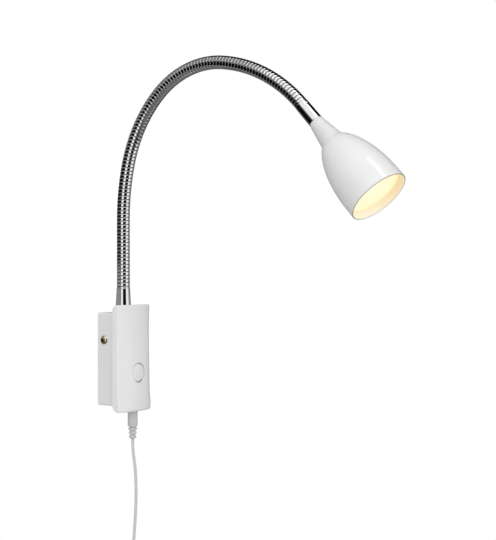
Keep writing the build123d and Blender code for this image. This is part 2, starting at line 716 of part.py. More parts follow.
# Ferrules, nuts and washer
def socket_radius():
    return ARM_ROOT_RADIUS + TAIL_CLEARANCE


def lower_ferrule():
    foot, stem = FERRULE_FOOT_DIAMETER / 2, STEM_DIAMETER / 2
    length = ARM_FOOT - HOUSING_TOP
    shape = turned(
        [
            (ARM_BORE / 2, -HOUSING_WALL - STEM_LENGTH),
            (stem, -HOUSING_WALL - STEM_LENGTH),
            (stem, 0),
            (foot, 0),
            (foot, FERRULE_FOOT_HEIGHT),
            (FERRULE_TOP_DIAMETER / 2, length),
            (socket_radius(), length),
            (socket_radius(), length - ARM_TAIL - TAIL_CLEARANCE),
            (ARM_BORE / 2, length - ARM_TAIL - TAIL_CLEARANCE),
        ]
    )
    return Pos(at(0, ARM_DEPTH, HOUSING_TOP)) * shape


def arm_washer():
    top, bottom = at(0, ARM_DEPTH, HOUSING_INNER_Z), at(0, ARM_DEPTH, HOUSING_INNER_Z - WASHER_THICKNESS)
    return rod(bottom, top, WASHER_DIAMETER / 2) - rod(bottom, top, STEM_DIAMETER / 2 + STEM_CLEARANCE)


def arm_nut():
    top = at(0, ARM_DEPTH, HOUSING_INNER_Z - WASHER_THICKNESS)
    bottom = top - Vector(0, 0, NUT_THICKNESS)
    return hexagon(NUT_ACROSS_FLATS, bottom, top) - rod(bottom, top, STEM_DIAMETER / 2 + STEM_CLEARANCE)


HEAD = arm_plane(ARM_LENGTH + NECK_FERRULE_LENGTH)


def upper_ferrule():
    start, end = NECK_FERRULE_START / 2, NECK_FERRULE_END / 2
    tail_end = -NECK_FERRULE_LENGTH + ARM_TAIL + TAIL_CLEARANCE
    stem_end = NECK_SOLID_LENGTH + NUT_THICKNESS + 1
    shape = turned(
        [
            (socket_radius(), -NECK_FERRULE_LENGTH),
            (start, -NECK_FERRULE_LENGTH),
            (end, 0),
            (STEM_DIAMETER / 2, 0),
            (STEM_DIAMETER / 2, stem_end),
            (ARM_BORE / 2, stem_end),
            (ARM_BORE / 2, tail_end),
            (socket_radius(), tail_end),
        ]
    )
    return HEAD * shape


def neck_nut():
    start, end = Vector(0, 0, NECK_SOLID_LENGTH), Vector(0, 0, NECK_SOLID_LENGTH + NUT_THICKNESS)
    shape = hexagon(NUT_ACROSS_FLATS, start, end) - rod(start, end, STEM_DIAMETER / 2 + STEM_CLEARANCE)
    return HEAD * shape


# Lead inside the arm, from the circuit board to the lamp board
def lead_turn_height():
    return HOUSING_INNER_Z - STEM_LENGTH - LEAD_DROP + LEAD_BEND


def arm_lead():
    turn_z = lead_turn_height()
    path = [
        Line(at(0, BOARD_BACK, turn_z), at(0, ARM_DEPTH + LEAD_BEND, turn_z)),
        ThreePointArc(
            at(0, ARM_DEPTH + LEAD_BEND, turn_z),
            at(0, ARM_DEPTH + LEAD_BEND * (1 - math.sqrt(0.5)), turn_z + LEAD_BEND * (1 - math.sqrt(0.5))),
            at(0, ARM_DEPTH, turn_z + LEAD_BEND),
        ),
        Line(at(0, ARM_DEPTH, turn_z + LEAD_BEND), arm_point(ARM_STRAIGHT)),
    ]
    along = ARM_STRAIGHT
    for radius, turn in ARM_ARCS:
        length = radius * math.radians(turn)
        path.append(
            ThreePointArc(arm_point(along), arm_point(along + length / 2), arm_point(along + length))
        )
        along += length
    path.append(Line(arm_point(along), arm_point(ARM_LENGTH + NECK_FERRULE_LENGTH + SINK_BACK)))
    section = Plane(origin=at(0, BOARD_BACK, turn_z), z_dir=(0, 1, 0)) * Circle(LEAD_DIAMETER / 2)
    return sweep(section, path=Wire(path))


# Shade and lamp parts, turned about the shade's own axis
def bell_height(radius, inset):
    """Where the bell's oval has a given radius."""
    share = radius / (BELL_DIAMETER / 2 - inset)
    return BELL_WIDEST - (BELL_AXIAL - inset) * math.sqrt(1 - share**2)


def bell_arc(radius, inset):
    """Oval side of the bell, from a given radius at the neck to its widest place."""
    widest, axial = BELL_DIAMETER / 2 - inset, BELL_AXIAL - inset
    start = -math.acos(radius / widest)
    angles = [start * (1 - step / BELL_STEPS) for step in range(BELL_STEPS + 1)]
    points = [(widest * math.cos(angle), BELL_WIDEST + axial * math.sin(angle)) for angle in angles]
    return Spline(*points, tangents=[(-widest * math.sin(start), axial * math.cos(start)), (0, 1)])


def shade():
    start, crease = NECK_START_DIAMETER / 2, NECK_END_DIAMETER / 2
    inner_crease = crease - SHADE_WALL
    widest, inner_widest = BELL_DIAMETER / 2, BELL_DIAMETER / 2 - SHADE_WALL
    inner_neck_end = bell_height(inner_crease, SHADE_WALL)
    slope = (crease - start) / NECK_LENGTH
    pocket = start + slope * NECK_SOLID_LENGTH - SHADE_WALL
    outer = [
        Line((0, 0), (start, 0)),
        Line((start, 0), (crease, NECK_LENGTH)),
        bell_arc(crease, 0.0),
        Line((widest, BELL_WIDEST), (widest, SHADE_LENGTH)),
        Line((widest, SHADE_LENGTH), (0, SHADE_LENGTH)),
        Line((0, SHADE_LENGTH), (0, 0)),
    ]
    inner = [
        Line((0, NECK_SOLID_LENGTH), (pocket, NECK_SOLID_LENGTH)),
        Line((pocket, NECK_SOLID_LENGTH), (inner_crease, inner_neck_end)),
        bell_arc(inner_crease, SHADE_WALL),
        Line((inner_widest, BELL_WIDEST), (inner_widest, SHADE_LENGTH + 1)),
        Line((inner_widest, SHADE_LENGTH + 1), (0, SHADE_LENGTH + 1)),
        Line((0, SHADE_LENGTH + 1), (0, NECK_SOLID_LENGTH)),
    ]
    shape = revolve(Plane.XZ * make_face(outer), Axis.Z) - revolve(Plane.XZ * make_face(inner), Axis.Z)
    shape = fillet(shape.faces().sort_by(Axis.Z)[-1].edges(), SHADE_WALL * LIP_SHARE)
    stem_hole = STEM_DIAMETER / 2 + STEM_CLEARANCE
    shape -= rod(Vector(0, 0, -1), Vector(0, 0, NECK_SOLID_LENGTH + 1), stem_hole)
    return HEAD * shape


def inner_radius(height):
    """Radius of the bell's inner wall."""
    share = (BELL_WIDEST - height) / (BELL_AXIAL - SHADE_WALL)
    return (BELL_DIAMETER / 2 - SHADE_WALL) * math.sqrt(1 - share**2)


def heat_sink():
    radius = inner_radius(SINK_BACK) - SINK_CLEARANCE
    shape = Pos(0, 0, SINK_BACK) * extrude(Circle(radius), amount=SINK_THICKNESS)
    fin_middle = (SINK_FIN_INNER + SINK_FIN_OUTER) / 2
    fin = Pos(fin_middle, 0, SINK_BACK - SINK_FIN_HEIGHT / 2) * Box(
        SINK_FIN_OUTER - SINK_FIN_INNER, SINK_FIN_THICKNESS, SINK_FIN_HEIGHT
    )
    shape += [Rot(0, 0, 360 * number / SINK_FINS) * fin for number in range(SINK_FINS)]
    lead_hole = LEAD_DIAMETER / 2 + LEAD_HOLE_CLEARANCE
    shape -= rod(Vector(0, 0, SINK_BACK - 1), Vector(0, 0, SINK_FRONT + 1), lead_hole)
    for x in (-LED_SCREW_X, LED_SCREW_X):
        hole = LED_SCREW_DIAMETER / 2 + SCREW_CLEARANCE
        shape -= rod(Vector(x, 0, SINK_BACK + 1), Vector(x, 0, SINK_FRONT + 1), hole)
    return HEAD * shape


def led_board():
    shape = Pos(0, 0, SINK_FRONT) * extrude(Circle(LED_BOARD_DIAMETER / 2), amount=LED_BOARD_THICKNESS)
    for x in (-LED_SCREW_X, LED_SCREW_X):
        hole = LED_SCREW_DIAMETER / 2 + SCREW_CLEARANCE
        shape -= rod(Vector(x, 0, SINK_FRONT - 1), Vector(x, 0, LED_FRONT + 1), hole)
    return HEAD * shape


def led_chips():
    places = [(0.0, 0.0)]
    for number in range(LED_COUNT):
        angle = 2 * math.pi * (number + 0.5) / LED_COUNT
        places.append((LED_CIRCLE / 2 * math.cos(angle), LED_CIRCLE / 2 * math.sin(angle)))
    chips = [
        HEAD * Pos(x, y, LED_FRONT) * extrude(Circle(LED_DIAMETER / 2), amount=LED_HEIGHT) for x, y in places
    ]
    return Compound([solid for chip in chips for solid in chip.solids()])


def led_screw(x):
    head = rod(Vector(x, 0, LED_FRONT), Vector(x, 0, LED_FRONT + LED_SCREW_HEAD_THICKNESS), LED_SCREW_HEAD / 2)
    tip = Vector(x, 0, LED_FRONT - LED_SCREW_LENGTH)
    return HEAD * (head + rod(tip, Vector(x, 0, LED_FRONT), LED_SCREW_DIAMETER / 2))


def reflector():
    foot = LED_BOARD_DIAMETER / 2 + REFLECTOR_CLEARANCE
    mouth = BELL_DIAMETER / 2 - SHADE_WALL - DIFFUSER_CLEARANCE - REFLECTOR_WALL
    shape = turned(
        [
            (foot, SINK_FRONT),
            (foot + REFLECTOR_WALL, SINK_FRONT),
            (mouth + REFLECTOR_WALL, DIFFUSER_BACK),
            (mouth, DIFFUSER_BACK),
        ]
    )
    return HEAD * shape


def diffuser():
    radius = BELL_DIAMETER / 2 - SHADE_WALL - DIFFUSER_CLEARANCE
    return HEAD * Pos(0, 0, DIFFUSER_BACK) * extrude(Circle(radius), amount=DIFFUSER_THICKNESS)


def retaining_ring():
    radius = BELL_DIAMETER / 2 - SHADE_WALL - DIFFUSER_CLEARANCE
    outline = Circle(radius) - Circle(radius - RING_WIDTH)
    return HEAD * Pos(0, 0, DIFFUSER_FRONT) * extrude(outline, amount=RING_THICKNESS)


# Cord: hanging stretch, coil, tie and tail
CORD_EXIT = at(0, PLUG_DEPTH, COVER_BOTTOM - PLUG_LENGTH - RELIEF_LENGTH)


def cord_tube(points):
    """Round tube on straight runs and the largest tangent arcs that they allow."""
    runs = [(b - a).length for a, b in zip(points, points[1:])]
    radii = []
    for before, corner, after, run_in, run_out in zip(points, points[1:], points[2:], runs, runs[1:]):
        turn = math.radians((corner - before).get_angle(after - corner))
        radii.append(0.45 * min(run_in, run_out) / math.tan(turn / 2))
    path = FilletPolyline(*points, radius=radii) if radii else Line(*points)
    section = Plane(origin=points[0], z_dir=points[1] - points[0]) * Circle(CORD_DIAMETER / 2)
    tube = sweep(section, path=path)
    expected = math.pi * CORD_DIAMETER**2 / 4 * path.length
    print("cord radii", [round(radius) for radius in radii], "length", round(path.length, 1))
    print("cord volume share", round(tube.volume / expected, 4))
    return tube, path.length


DROP_POINTS = [CORD_EXIT + Vector(*point) for point in CORD_ROUTE]
COIL_ENTRY = DROP_POINTS[-1]


def coil_half_turns():
    """Half turns as (start radius, end radius, start layer, end layer), on alternate sides."""
    half_turns = []
    radius = COIL_OUTER_RADIUS
    for layer in range(COIL_LAYERS):
        change = -COIL_STEP / 2 if layer % 2 == 0 else COIL_STEP / 2
        for _ in range(2 * COIL_TURNS_PER_LAYER):
            half_turns.append((radius, radius + change, layer, layer))
            radius += change
        if layer < COIL_LAYERS - 1:
            half_turns.append((radius, radius, layer, layer + 1))
    half_turns.append((radius, radius + COIL_STEP / 2, COIL_LAYERS - 1, COIL_LAYERS - 1))
    return half_turns


def coil_path():
    """Straight lead-in, half-turn arcs about the coil's middle, and straight lead-out."""
    middle = COIL_ENTRY + Vector(COIL_OUTER_RADIUS, 0, -CORD_DIAMETER)
    edges = [Line(COIL_ENTRY, COIL_ENTRY - Vector(0, 0, CORD_DIAMETER))]
    side = -1
    for start_radius, end_radius, start_layer, end_layer in coil_half_turns():
        start = middle + Vector(side * start_radius, -start_layer * COIL_LAYER_STEP, 0)
        end = middle + Vector(-side * end_radius, -end_layer * COIL_LAYER_STEP, 0)
        climb = end.Y - start.Y
        half_width = (start_radius + end_radius) / 2
        top = math.sqrt(half_width**2 + climb**2 / 4)
        crown = (start + end) / 2 + Vector(0, 0, side * top)
        if climb:
            first = TangentArc(start, crown, tangent=Vector(0, 0, side))
            edges += [first, TangentArc(crown, end, tangent=first % 1)]
        else:
            edges.append(ThreePointArc(start, crown, end))
        side = -side
    last = edges[-1] @ 1
    edges.append(Line(last, last - Vector(0, 0, CORD_DIAMETER)))
    return edges, last - Vector(0, 0, CORD_DIAMETER)


def least_gap(edges):
    """Least free space between places on the coil that are over a quarter turn apart along it."""
    places, along = [], []
    done = 0.0
    for edge in edges:
        count = max(2, round(edge.length / CORD_DIAMETER))
        for number in range(count):
            places.append(edge @ (number / count))
            along.append(done + edge.length * number / count)
        done += edge.length
    apart = 2.5 * CORD_DIAMETER
    least = math.inf
    for first, (place, start) in enumerate(zip(places, along)):
        for other, end in zip(places[first + 1 :], along[first + 1 :]):
            if end - start > apart:
                least = min(least, (place - other).length)
    return least - CORD_DIAMETER


def cord_coil():
    edges, end = coil_path()
    section = Plane(origin=COIL_ENTRY, z_dir=(0, 0, -1)) * Circle(CORD_DIAMETER / 2)
    path = Wire(edges)
    tube = sweep(section, path=path)
    gap = least_gap(edges)
    expected = math.pi * CORD_DIAMETER**2 / 4 * path.length
    print("coil length", round(path.length, 1), "volume share", round(tube.volume / expected, 4))
    print("coil least gap", round(gap, 2), "wanted over", COIL_MIN_GAP)
    return tube, end, path.length


def coil_tie():
    """Band round the bundle of turns, where the cord enters and leaves it."""
    centre = COIL_ENTRY + Vector(COIL_OUTER_RADIUS, 0, -CORD_DIAMETER)
    half_cord = CORD_DIAMETER / 2 + TIE_CLEARANCE
    inner_turn = COIL_OUTER_RADIUS - COIL_TURNS_PER_LAYER * COIL_STEP
    bow = inner_turn - math.sqrt(inner_turn**2 - (TIE_WIDTH / 2) ** 2)
    x_low = centre.X - COIL_OUTER_RADIUS - COIL_STEP / 2 - half_cord
    x_high = centre.X - inner_turn + half_cord + bow
    depth_low = -centre.Y - half_cord
    depth_high = -centre.Y + (COIL_LAYERS - 1) * COIL_LAYER_STEP + half_cord
    z_range = (centre.Z - TIE_WIDTH / 2, centre.Z + TIE_WIDTH / 2)
    outer = block(
        (x_low - TIE_THICKNESS, x_high + TIE_THICKNESS),
        (depth_low - TIE_THICKNESS, depth_high + TIE_THICKNESS),
        z_range,
    )
    outer = fillet(outer.edges().filter_by(Axis.Z), TIE_THICKNESS)
    return outer - block((x_low, x_high), (depth_low, depth_high), (z_range[0] - 1, z_range[1] + 1))


# Plug-in supply: two half shells, two pins, its relief and the core inside
def supply_parts(entry):
    """Shells, pins, relief and core, with the cord entering the relief at the top."""
    x, depth = entry.X, -entry.Y
    top = entry.Z - SUPPLY_RELIEF_LENGTH
    foot = top - SUPPLY_HEIGHT
    half_x, half_depth = SUPPLY_WIDTH / 2, SUPPLY_DEPTH / 2
    body = block((x - half_x, x + half_x), (depth - half_depth, depth + half_depth), (foot, top))
    body = fillet(body.edges().filter_by(Axis.Y), SUPPLY_EDGE)
    wall = SUPPLY_WALL
    hollow = block(
        (x - half_x + wall, x + half_x - wall),
        (depth - half_depth + wall, depth + half_depth - wall),
        (foot + wall, top - wall),
    )
    relief = Pos(entry) * turned(
        [
            (0, 0),
            (SUPPLY_RELIEF_END / 2, 0),
            (SUPPLY_RELIEF_START / 2, -SUPPLY_RELIEF_LENGTH),
            (SUPPLY_RELIEF_START / 2, -SUPPLY_RELIEF_LENGTH - wall),
            (0, -SUPPLY_RELIEF_LENGTH - wall),
        ]
    )
    shell = body - hollow - rod(entry, Vector(entry.X, entry.Y, top - wall - 1), SUPPLY_RELIEF_START / 2)
    back_half = block((x - half_x, x + half_x), (depth - half_depth, depth), (foot, top))
    pin_z = foot + PIN_FROM_FOOT
    pins = []
    for side in (-1, 1):
        pin_x = x + side * PIN_SPACING / 2
        face = depth - half_depth
        pin = rod(at(pin_x, face - PIN_LENGTH, pin_z), at(pin_x, face + wall, pin_z), PIN_DIAMETER / 2)
        flange = rod(at(pin_x, face + wall, pin_z), at(pin_x, face + 2 * wall, pin_z), PIN_FLANGE / 2)
        pins += (pin + flange).solids()
        shell -= rod(at(pin_x, face - 1, pin_z), at(pin_x, face + wall, pin_z), PIN_DIAMETER / 2)
    gap = CORE_CLEARANCE
    core = block(
        (x - half_x + wall + gap, x + half_x - wall - gap),
        (depth - half_depth + 2 * wall, depth + half_depth - wall - gap),
        (foot + wall, top - 2 * wall),
    )
    return shell & back_half, shell - back_half, Compound(pins), relief, core


save("wall_bracket", wall_bracket())
save("rear_housing", rear_housing())
save("side_screws", Compound([solid for side in (-1, 1) for solid in side_screw(side).solids()]))
save("front_cover", front_cover())
save("cover_plate", cover_plate())
CORNERS = [(x, z) for x in (-SCREW_X, SCREW_X) for z in (-SCREW_Z, SCREW_Z)]
save("cover_screws", Compound([solid for corner in CORNERS for solid in cover_screw(*corner).solids()]))
save("circuit_board", circuit_board())
save("board_parts", board_parts())
save("switch_body", switch_body())
save("switch_plunger", switch_plunger())
save("push_button", push_button())
save("dc_socket", dc_socket())
save("socket_pin", socket_pin())
save("lower_ferrule", lower_ferrule())
save("arm_washer", arm_washer())
save("arm_nut", arm_nut())
for number, link in enumerate(arm_links()):
    save(f"arm_link_{number:02d}", link)
save("arm_lead", arm_lead())
save("upper_ferrule", upper_ferrule())
save("neck_nut", neck_nut())
save("shade", shade())
save("heat_sink", heat_sink())
save("led_board", led_board())
save("led_chips", led_chips())
save("led_screws", Compound([solid for x in (-LED_SCREW_X, LED_SCREW_X) for solid in led_screw(x).solids()]))
save("reflector", reflector())
save("diffuser", diffuser())
save("retaining_ring", retaining_ring())
save("plug_barrel", plug_barrel())
save("plug_body", plug_body())

drop, drop_length = cord_tube(DROP_POINTS)
coil, coil_end, coil_length = cord_coil()
tail_end = coil_end - Vector(0, 0, TAIL_LENGTH)
tail, tail_length = cord_tube([coil_end, tail_end])
print("whole cord", round(drop_length + coil_length + tail_length, 1))
save("cord_drop", drop)
save("cord_coil", coil)
save("cord_tail", tail)
save("coil_tie", coil_tie())
SUPPLY_NAMES = ("supply_back", "supply_front", "supply_pins", "supply_relief", "supply_core")
for name, piece in zip(SUPPLY_NAMES, supply_parts(tail_end)):
    save(name, piece)
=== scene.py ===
import json
import math

import bmesh
import bpy
from mathutils import Matrix, Vector

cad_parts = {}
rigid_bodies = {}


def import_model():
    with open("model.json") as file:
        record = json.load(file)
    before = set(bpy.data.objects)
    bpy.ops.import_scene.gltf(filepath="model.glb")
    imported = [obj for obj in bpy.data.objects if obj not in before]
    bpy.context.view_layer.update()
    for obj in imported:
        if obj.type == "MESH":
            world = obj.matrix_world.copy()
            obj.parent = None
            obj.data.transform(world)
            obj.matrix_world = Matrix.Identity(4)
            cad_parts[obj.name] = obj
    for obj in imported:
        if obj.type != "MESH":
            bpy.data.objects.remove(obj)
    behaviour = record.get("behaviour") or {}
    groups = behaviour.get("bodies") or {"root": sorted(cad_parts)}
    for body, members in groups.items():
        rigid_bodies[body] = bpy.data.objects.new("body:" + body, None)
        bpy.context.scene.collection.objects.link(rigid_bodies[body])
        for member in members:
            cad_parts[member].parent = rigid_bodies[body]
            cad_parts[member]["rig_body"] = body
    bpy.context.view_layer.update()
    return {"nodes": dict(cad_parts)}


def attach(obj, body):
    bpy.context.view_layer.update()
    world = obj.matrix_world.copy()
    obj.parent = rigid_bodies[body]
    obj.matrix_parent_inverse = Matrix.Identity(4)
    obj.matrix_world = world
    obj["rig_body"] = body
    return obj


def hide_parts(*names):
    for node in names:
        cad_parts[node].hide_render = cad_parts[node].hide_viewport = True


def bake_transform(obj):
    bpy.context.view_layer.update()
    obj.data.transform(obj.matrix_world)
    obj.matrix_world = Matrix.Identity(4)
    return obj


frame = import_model()
bpy.ops.object.select_all(action="DESELECT")
MM = 0.001


# Studio: a level camera a little over a metre away, 55 degrees off the wall's normal, a white
# sweep round the lamp, and strip lights and an overhead lamp for the chrome and enamel to mirror.
# A grey card beside the lower ferrule, seen in reflections alone, gives it its grey band.
CAMERA_PLACE = (-0.91207, -0.80568, 0.0877)
CAMERA_TURN = -55.0
CAMERA_LENS = 80.4
FLOOR_LEVEL = -0.40

scene = bpy.context.scene
scene.view_settings.view_transform = "Standard"
camera_data = bpy.data.cameras.new("photo_camera")
camera_data.lens = CAMERA_LENS
camera = bpy.data.objects.new("photo_camera", camera_data)
camera.location = CAMERA_PLACE
camera.rotation_euler = (math.pi / 2, 0, math.radians(CAMERA_TURN))
scene.collection.objects.link(camera)
scene.camera = camera


class Wire:
    """Output socket of a node tree. Sums written on it add Math nodes to its tree."""

    def __init__(self, tree, socket):
        self.tree = tree
        self.socket = socket

    def node(self, kind, settings, values, output=0):
        """Adds a node: its type, its settings, and the numbers or wires of its sockets."""
        made = self.tree.nodes.new(kind)
        for name, value in settings.items():
            if name == "stops":
                while len(made.color_ramp.elements) < len(value):
                    made.color_ramp.elements.new(0.5)
                for element, (place, colour) in zip(made.color_ramp.elements, value):
                    element.position = place
                    element.color = colour
            else:
                setattr(made, name, value)
        for key, value in values.items():
            if isinstance(value, Wire):
                self.tree.links.new(value.socket, made.inputs[key])
            else:
                made.inputs[key].default_value = value
        return Wire(self.tree, made.outputs[output])

    def feed(self, shader, key):
        self.tree.links.new(self.socket, shader.inputs[key])

    def math(self, operation, first, second):
        return self.node("ShaderNodeMath", {"operation": operation}, {0: first, 1: second})

    def __add__(self, other):
        return self.math("ADD", self, other)

    def __radd__(self, other):
        return self.math("ADD", other, self)

    def __sub__(self, other):
        return self.math("SUBTRACT", self, other)

    def __rsub__(self, other):
        return self.math("SUBTRACT", other, self)

    def __mul__(self, other):
        return self.math("MULTIPLY", self, other)

    def __rmul__(self, other):
        return self.math("MULTIPLY", other, self)

    def between(self, low, high, soft):
        """1 between two values and 0 outside them, with soft edges."""
        rise = self.node(
            "ShaderNodeMapRange",
            {"interpolation_type": "SMOOTHSTEP"},
            {"Value": self, "From Min": low - soft, "From Max": low + soft},
        )
        fall = self.node(
            "ShaderNodeMapRange",
            {"interpolation_type": "SMOOTHSTEP"},
            {"Value": self, "From Min": high - soft, "From Max": high + soft},
        )
        return rise * (1 - fall)

    def blend(self, first, second):
        """Colour mix with this wire as the share of the second colour."""
        return self.node(
            "ShaderNodeMix",
            {"data_type": "RGBA"},
            {"Factor": self, 6: first, 7: second},
            output=2,
        )

    def dot(self, way):
        """How far this vector reaches along a direction."""
        settings = {"operation": "DOT_PRODUCT"}
        return self.node("ShaderNodeVectorMath", settings, {0: self, 1: way}, output=1)


world = bpy.data.worlds.new("white_sweep")
world.use_nodes = True
scene.world = world
sky = world.node_tree
backdrop = sky.nodes["Background"]
direction = Wire(sky, sky.nodes.new("ShaderNodeTexCoord").outputs["Generated"])
turn = math.radians(CAMERA_TURN)
to_camera = (math.sin(turn), -math.cos(turn), 0.0)
to_right = (math.cos(turn), math.sin(turn), 0.0)
near_side = direction.dot(to_camera)
height = direction.node("ShaderNodeSeparateXYZ", {}, {0: direction}, output=2)
around = direction.math("ARCTAN2", direction.dot(to_right), near_side) * (180 / math.pi)

# What is mirrored: degrees round the lamp from the camera to the right, heights, and brightness
ALL_ROUND, OVERHEAD, BELOW = 500.0, 2.0, -2.0
AT_LEVEL = (-0.50, 0.34, 0.06)
MIRRORED = (
    ((-34.0, -1.0, 3.0), AT_LEVEL, 1.0),
    ((51.0, 95.0, 4.0), AT_LEVEL, 1.0),
    ((95.0, 138.0, 6.0), AT_LEVEL, 0.33),
    ((-ALL_ROUND, -140.0, 6.0), AT_LEVEL, 0.2),
    ((-62.0, 92.0, 8.0), (0.34, OVERHEAD, 0.06), 1.0),
    ((-142.0, -62.0, 8.0), (0.18, OVERHEAD, 0.05), 0.24),
    ((-ALL_ROUND, ALL_ROUND, 8.0), (BELOW, -0.62, 0.10), 0.18),
    ((27.0, 52.0, 5.0), (0.88, 0.972, 0.012), 7.0),
)
DARKEST = 0.004
mirrored = DARKEST
for angles, heights, brightness in MIRRORED:
    mirrored = around.between(*angles) * height.between(*heights) * brightness + mirrored
ray = sky.nodes.new("ShaderNodeLightPath")
seen = Wire(sky, ray.outputs["Is Camera Ray"]) + Wire(sky, ray.outputs["Is Transmission Ray"])
glossy = Wire(sky, ray.outputs["Is Glossy Ray"])
SOFT_LIGHT = 0.545
FROM_CAMERA = 0.45
FROM_ABOVE = 0.30
ambient = SOFT_LIGHT * (1 + FROM_CAMERA * near_side + FROM_ABOVE * height)
strength = glossy * mirrored + (1 - glossy) * ambient
strength = strength * (1 - seen) + seen
strength.feed(backdrop, "Strength")
backdrop.inputs["Color"].default_value = (1, 1, 1, 1)

# Name, place, side and power of the soft lamps, which stay out of the reflections
LAMPS = (
    ("key_front", (-0.90, -0.95, 0.80), 0.8, 3.9),
    ("fill_top", (-0.35, -0.45, 1.35), 1.1, 2.2),
)
LAMP_TARGET = Vector((0, -0.12, 0.08))
for name, place, side, power in LAMPS:
    lamp_data = bpy.data.lights.new(name, "AREA")
    lamp_data.size = side
    lamp_data.energy = power
    lamp = bpy.data.objects.new(name, lamp_data)
    lamp.location = place
    aim = LAMP_TARGET - lamp.location
    lamp.rotation_euler = aim.to_track_quat("-Z", "Y").to_euler()
    lamp.visible_glossy = False
    scene.collection.objects.link(lamp)

bpy.ops.mesh.primitive_plane_add(size=6.0, location=(0, 0, FLOOR_LEVEL))
floor = bpy.context.object
floor.name = "studio_floor"
floor.visible_glossy = False
floor_paint = bpy.data.materials.new("floor_paint")
floor_paint.use_nodes = True
tree = floor_paint.node_tree
paint = tree.nodes["Principled BSDF"]
paint.inputs["Base Color"].default_value = (0.86, 0.86, 0.86, 1)
paint.inputs["Roughness"].default_value = 0.9
bright = tree.nodes.new("ShaderNodeEmission")
camera_ray = Wire(tree, tree.nodes.new("ShaderNodeLightPath").outputs["Is Camera Ray"])
swept = camera_ray.node(
    "ShaderNodeMixShader",
    {},
    {0: camera_ray, 1: Wire(tree, paint.outputs[0]), 2: Wire(tree, bright.outputs[0])},
)
tree.links.new(swept.socket, tree.nodes["Material Output"].inputs["Surface"])
floor.data.materials.append(floor_paint)

CARD_FACES = Vector((0, -0.0156, 0.069))
CARD_ANGLE = -85.0
CARD_DISTANCE = 0.15
CARD_SIZE = Vector((0.28, 0.048, 1.0))
CARD_GREY = 0.30
bpy.ops.mesh.primitive_plane_add(size=1.0)
card = bpy.context.object
card.name = "grey_card"
beside = Matrix.Rotation(math.radians(CARD_ANGLE), 3, "Z") @ Vector(to_camera)
card_place = CARD_FACES + CARD_DISTANCE * beside
card.matrix_world = Matrix.LocRotScale(card_place, beside.to_track_quat("Z", "Y"), CARD_SIZE)
bpy.ops.object.transform_apply(location=True, rotation=True, scale=True)
card_paint = bpy.data.materials.new("card_paint")
card_paint.use_nodes = True
card_tree = card_paint.node_tree
card_light = card_tree.nodes.new("ShaderNodeEmission")
card_light.inputs["Strength"].default_value = CARD_GREY
card_tree.links.new(card_light.outputs[0], card_tree.nodes["Material Output"].inputs["Surface"])
card.data.materials.append(card_paint)
card.visible_camera = False
card.visible_diffuse = False
card.visible_shadow = False


# Wall bracket and plain fasteners: folded steel strip, nuts, washer and screws, all zinc plated.
# They are hidden once the lamp hangs, so their CAD solids stay and only get their finish.
def new_finish(name, values):
    """Material with constant shader values, its object coordinates, and its shader."""
    material = bpy.data.materials.new(name)
    material.use_nodes = True
    tree = material.node_tree
    shader = tree.nodes["Principled BSDF"]
    for key, value in values.items():
        shader.inputs[key].default_value = value
    return material, Wire(tree, tree.nodes.new("ShaderNodeTexCoord").outputs["Object"]), shader


def noise(places, scale, detail=2.0, stretch=(1, 1, 1)):
    """Noise of a given number of cells to the metre, from 0 to 1."""
    placed = places.node("ShaderNodeMapping", {}, {"Vector": places, "Scale": stretch})
    return places.node("ShaderNodeTexNoise", {}, {"Vector": placed, "Scale": scale, "Detail": detail})


def bump(shader, height, strength, distance):
    """Lets a wire raise the surface by up to a distance in metres."""
    values = {"Height": height, "Strength": strength, "Distance": distance}
    height.node("ShaderNodeBump", {}, values).feed(shader, "Normal")


def dress(names, material):
    """Gives solids that stay as they are their finish."""
    for name in names:
        node = frame["nodes"][name]
        node.data.materials.clear()
        node.data.materials.append(material)


def plated(name, dark, light, roughness):
    """Zinc or nickel plate: cloudy in tone, with fine rolling marks."""
    material, places, shader = new_finish(name, {"Metallic": 1.0})
    cloud = noise(places, 260.0, 4.0)
    marks = noise(places, 420.0, 2.0, (1, 1, 9))
    (cloud * 0.6 + marks * 0.4).blend(dark, light).feed(shader, "Base Color")
    (roughness + 0.18 * (cloud - 0.5)).feed(shader, "Roughness")
    bump(shader, marks, 0.12, 0.02 * MM)
    return material


zinc_plate = plated("zinc_plate", (0.40, 0.41, 0.43, 1), (0.68, 0.68, 0.67, 1), 0.34)
dress(("wall_bracket", "cover_screws", "arm_washer", "arm_nut", "neck_nut", "led_screws"), zinc_plate)


# Wall housing: an open moulded frame in white plastic with rounded corners, slipped over the
# bracket and held to its ears by the two side screws.
HOUSING_TONE = (0.86, 0.868, 0.866, 1)
HOUSING_SHADE = (0.80, 0.81, 0.808, 1)


def moulded(name, dark, light, roughness, grain, coat=0.0):
    """Moulded plastic: faint tone drift, fine spark-eroded grain and an uneven gloss."""
    gloss = {"Specular IOR Level": 0.5, "Coat Weight": coat, "Coat Roughness": 0.06}
    material, places, shader = new_finish(name, gloss)
    drift = noise(places, 22.0, 3.0)
    fine = noise(places, 2600.0, 2.0)
    (drift * 0.8 + fine * 0.2).blend(dark, light).feed(shader, "Base Color")
    (roughness + 0.10 * (fine - 0.5) + 0.05 * (drift - 0.5)).feed(shader, "Roughness")
    bump(shader, fine, grain, 0.03 * MM)
    return material


def choose(piece):
    """Makes a piece the only selected one."""
    bpy.ops.object.select_all(action="DESELECT")
    piece.select_set(True)
    bpy.context.view_layer.objects.active = piece


def apply_modifier(piece, kind, settings):
    """Adds a modifier with its settings and applies it."""
    choose(piece)
    modifier = piece.modifiers.new(kind.lower(), kind)
    for name, value in settings.items():
        setattr(modifier, name, value)
    bpy.ops.object.modifier_apply(modifier=modifier.name)


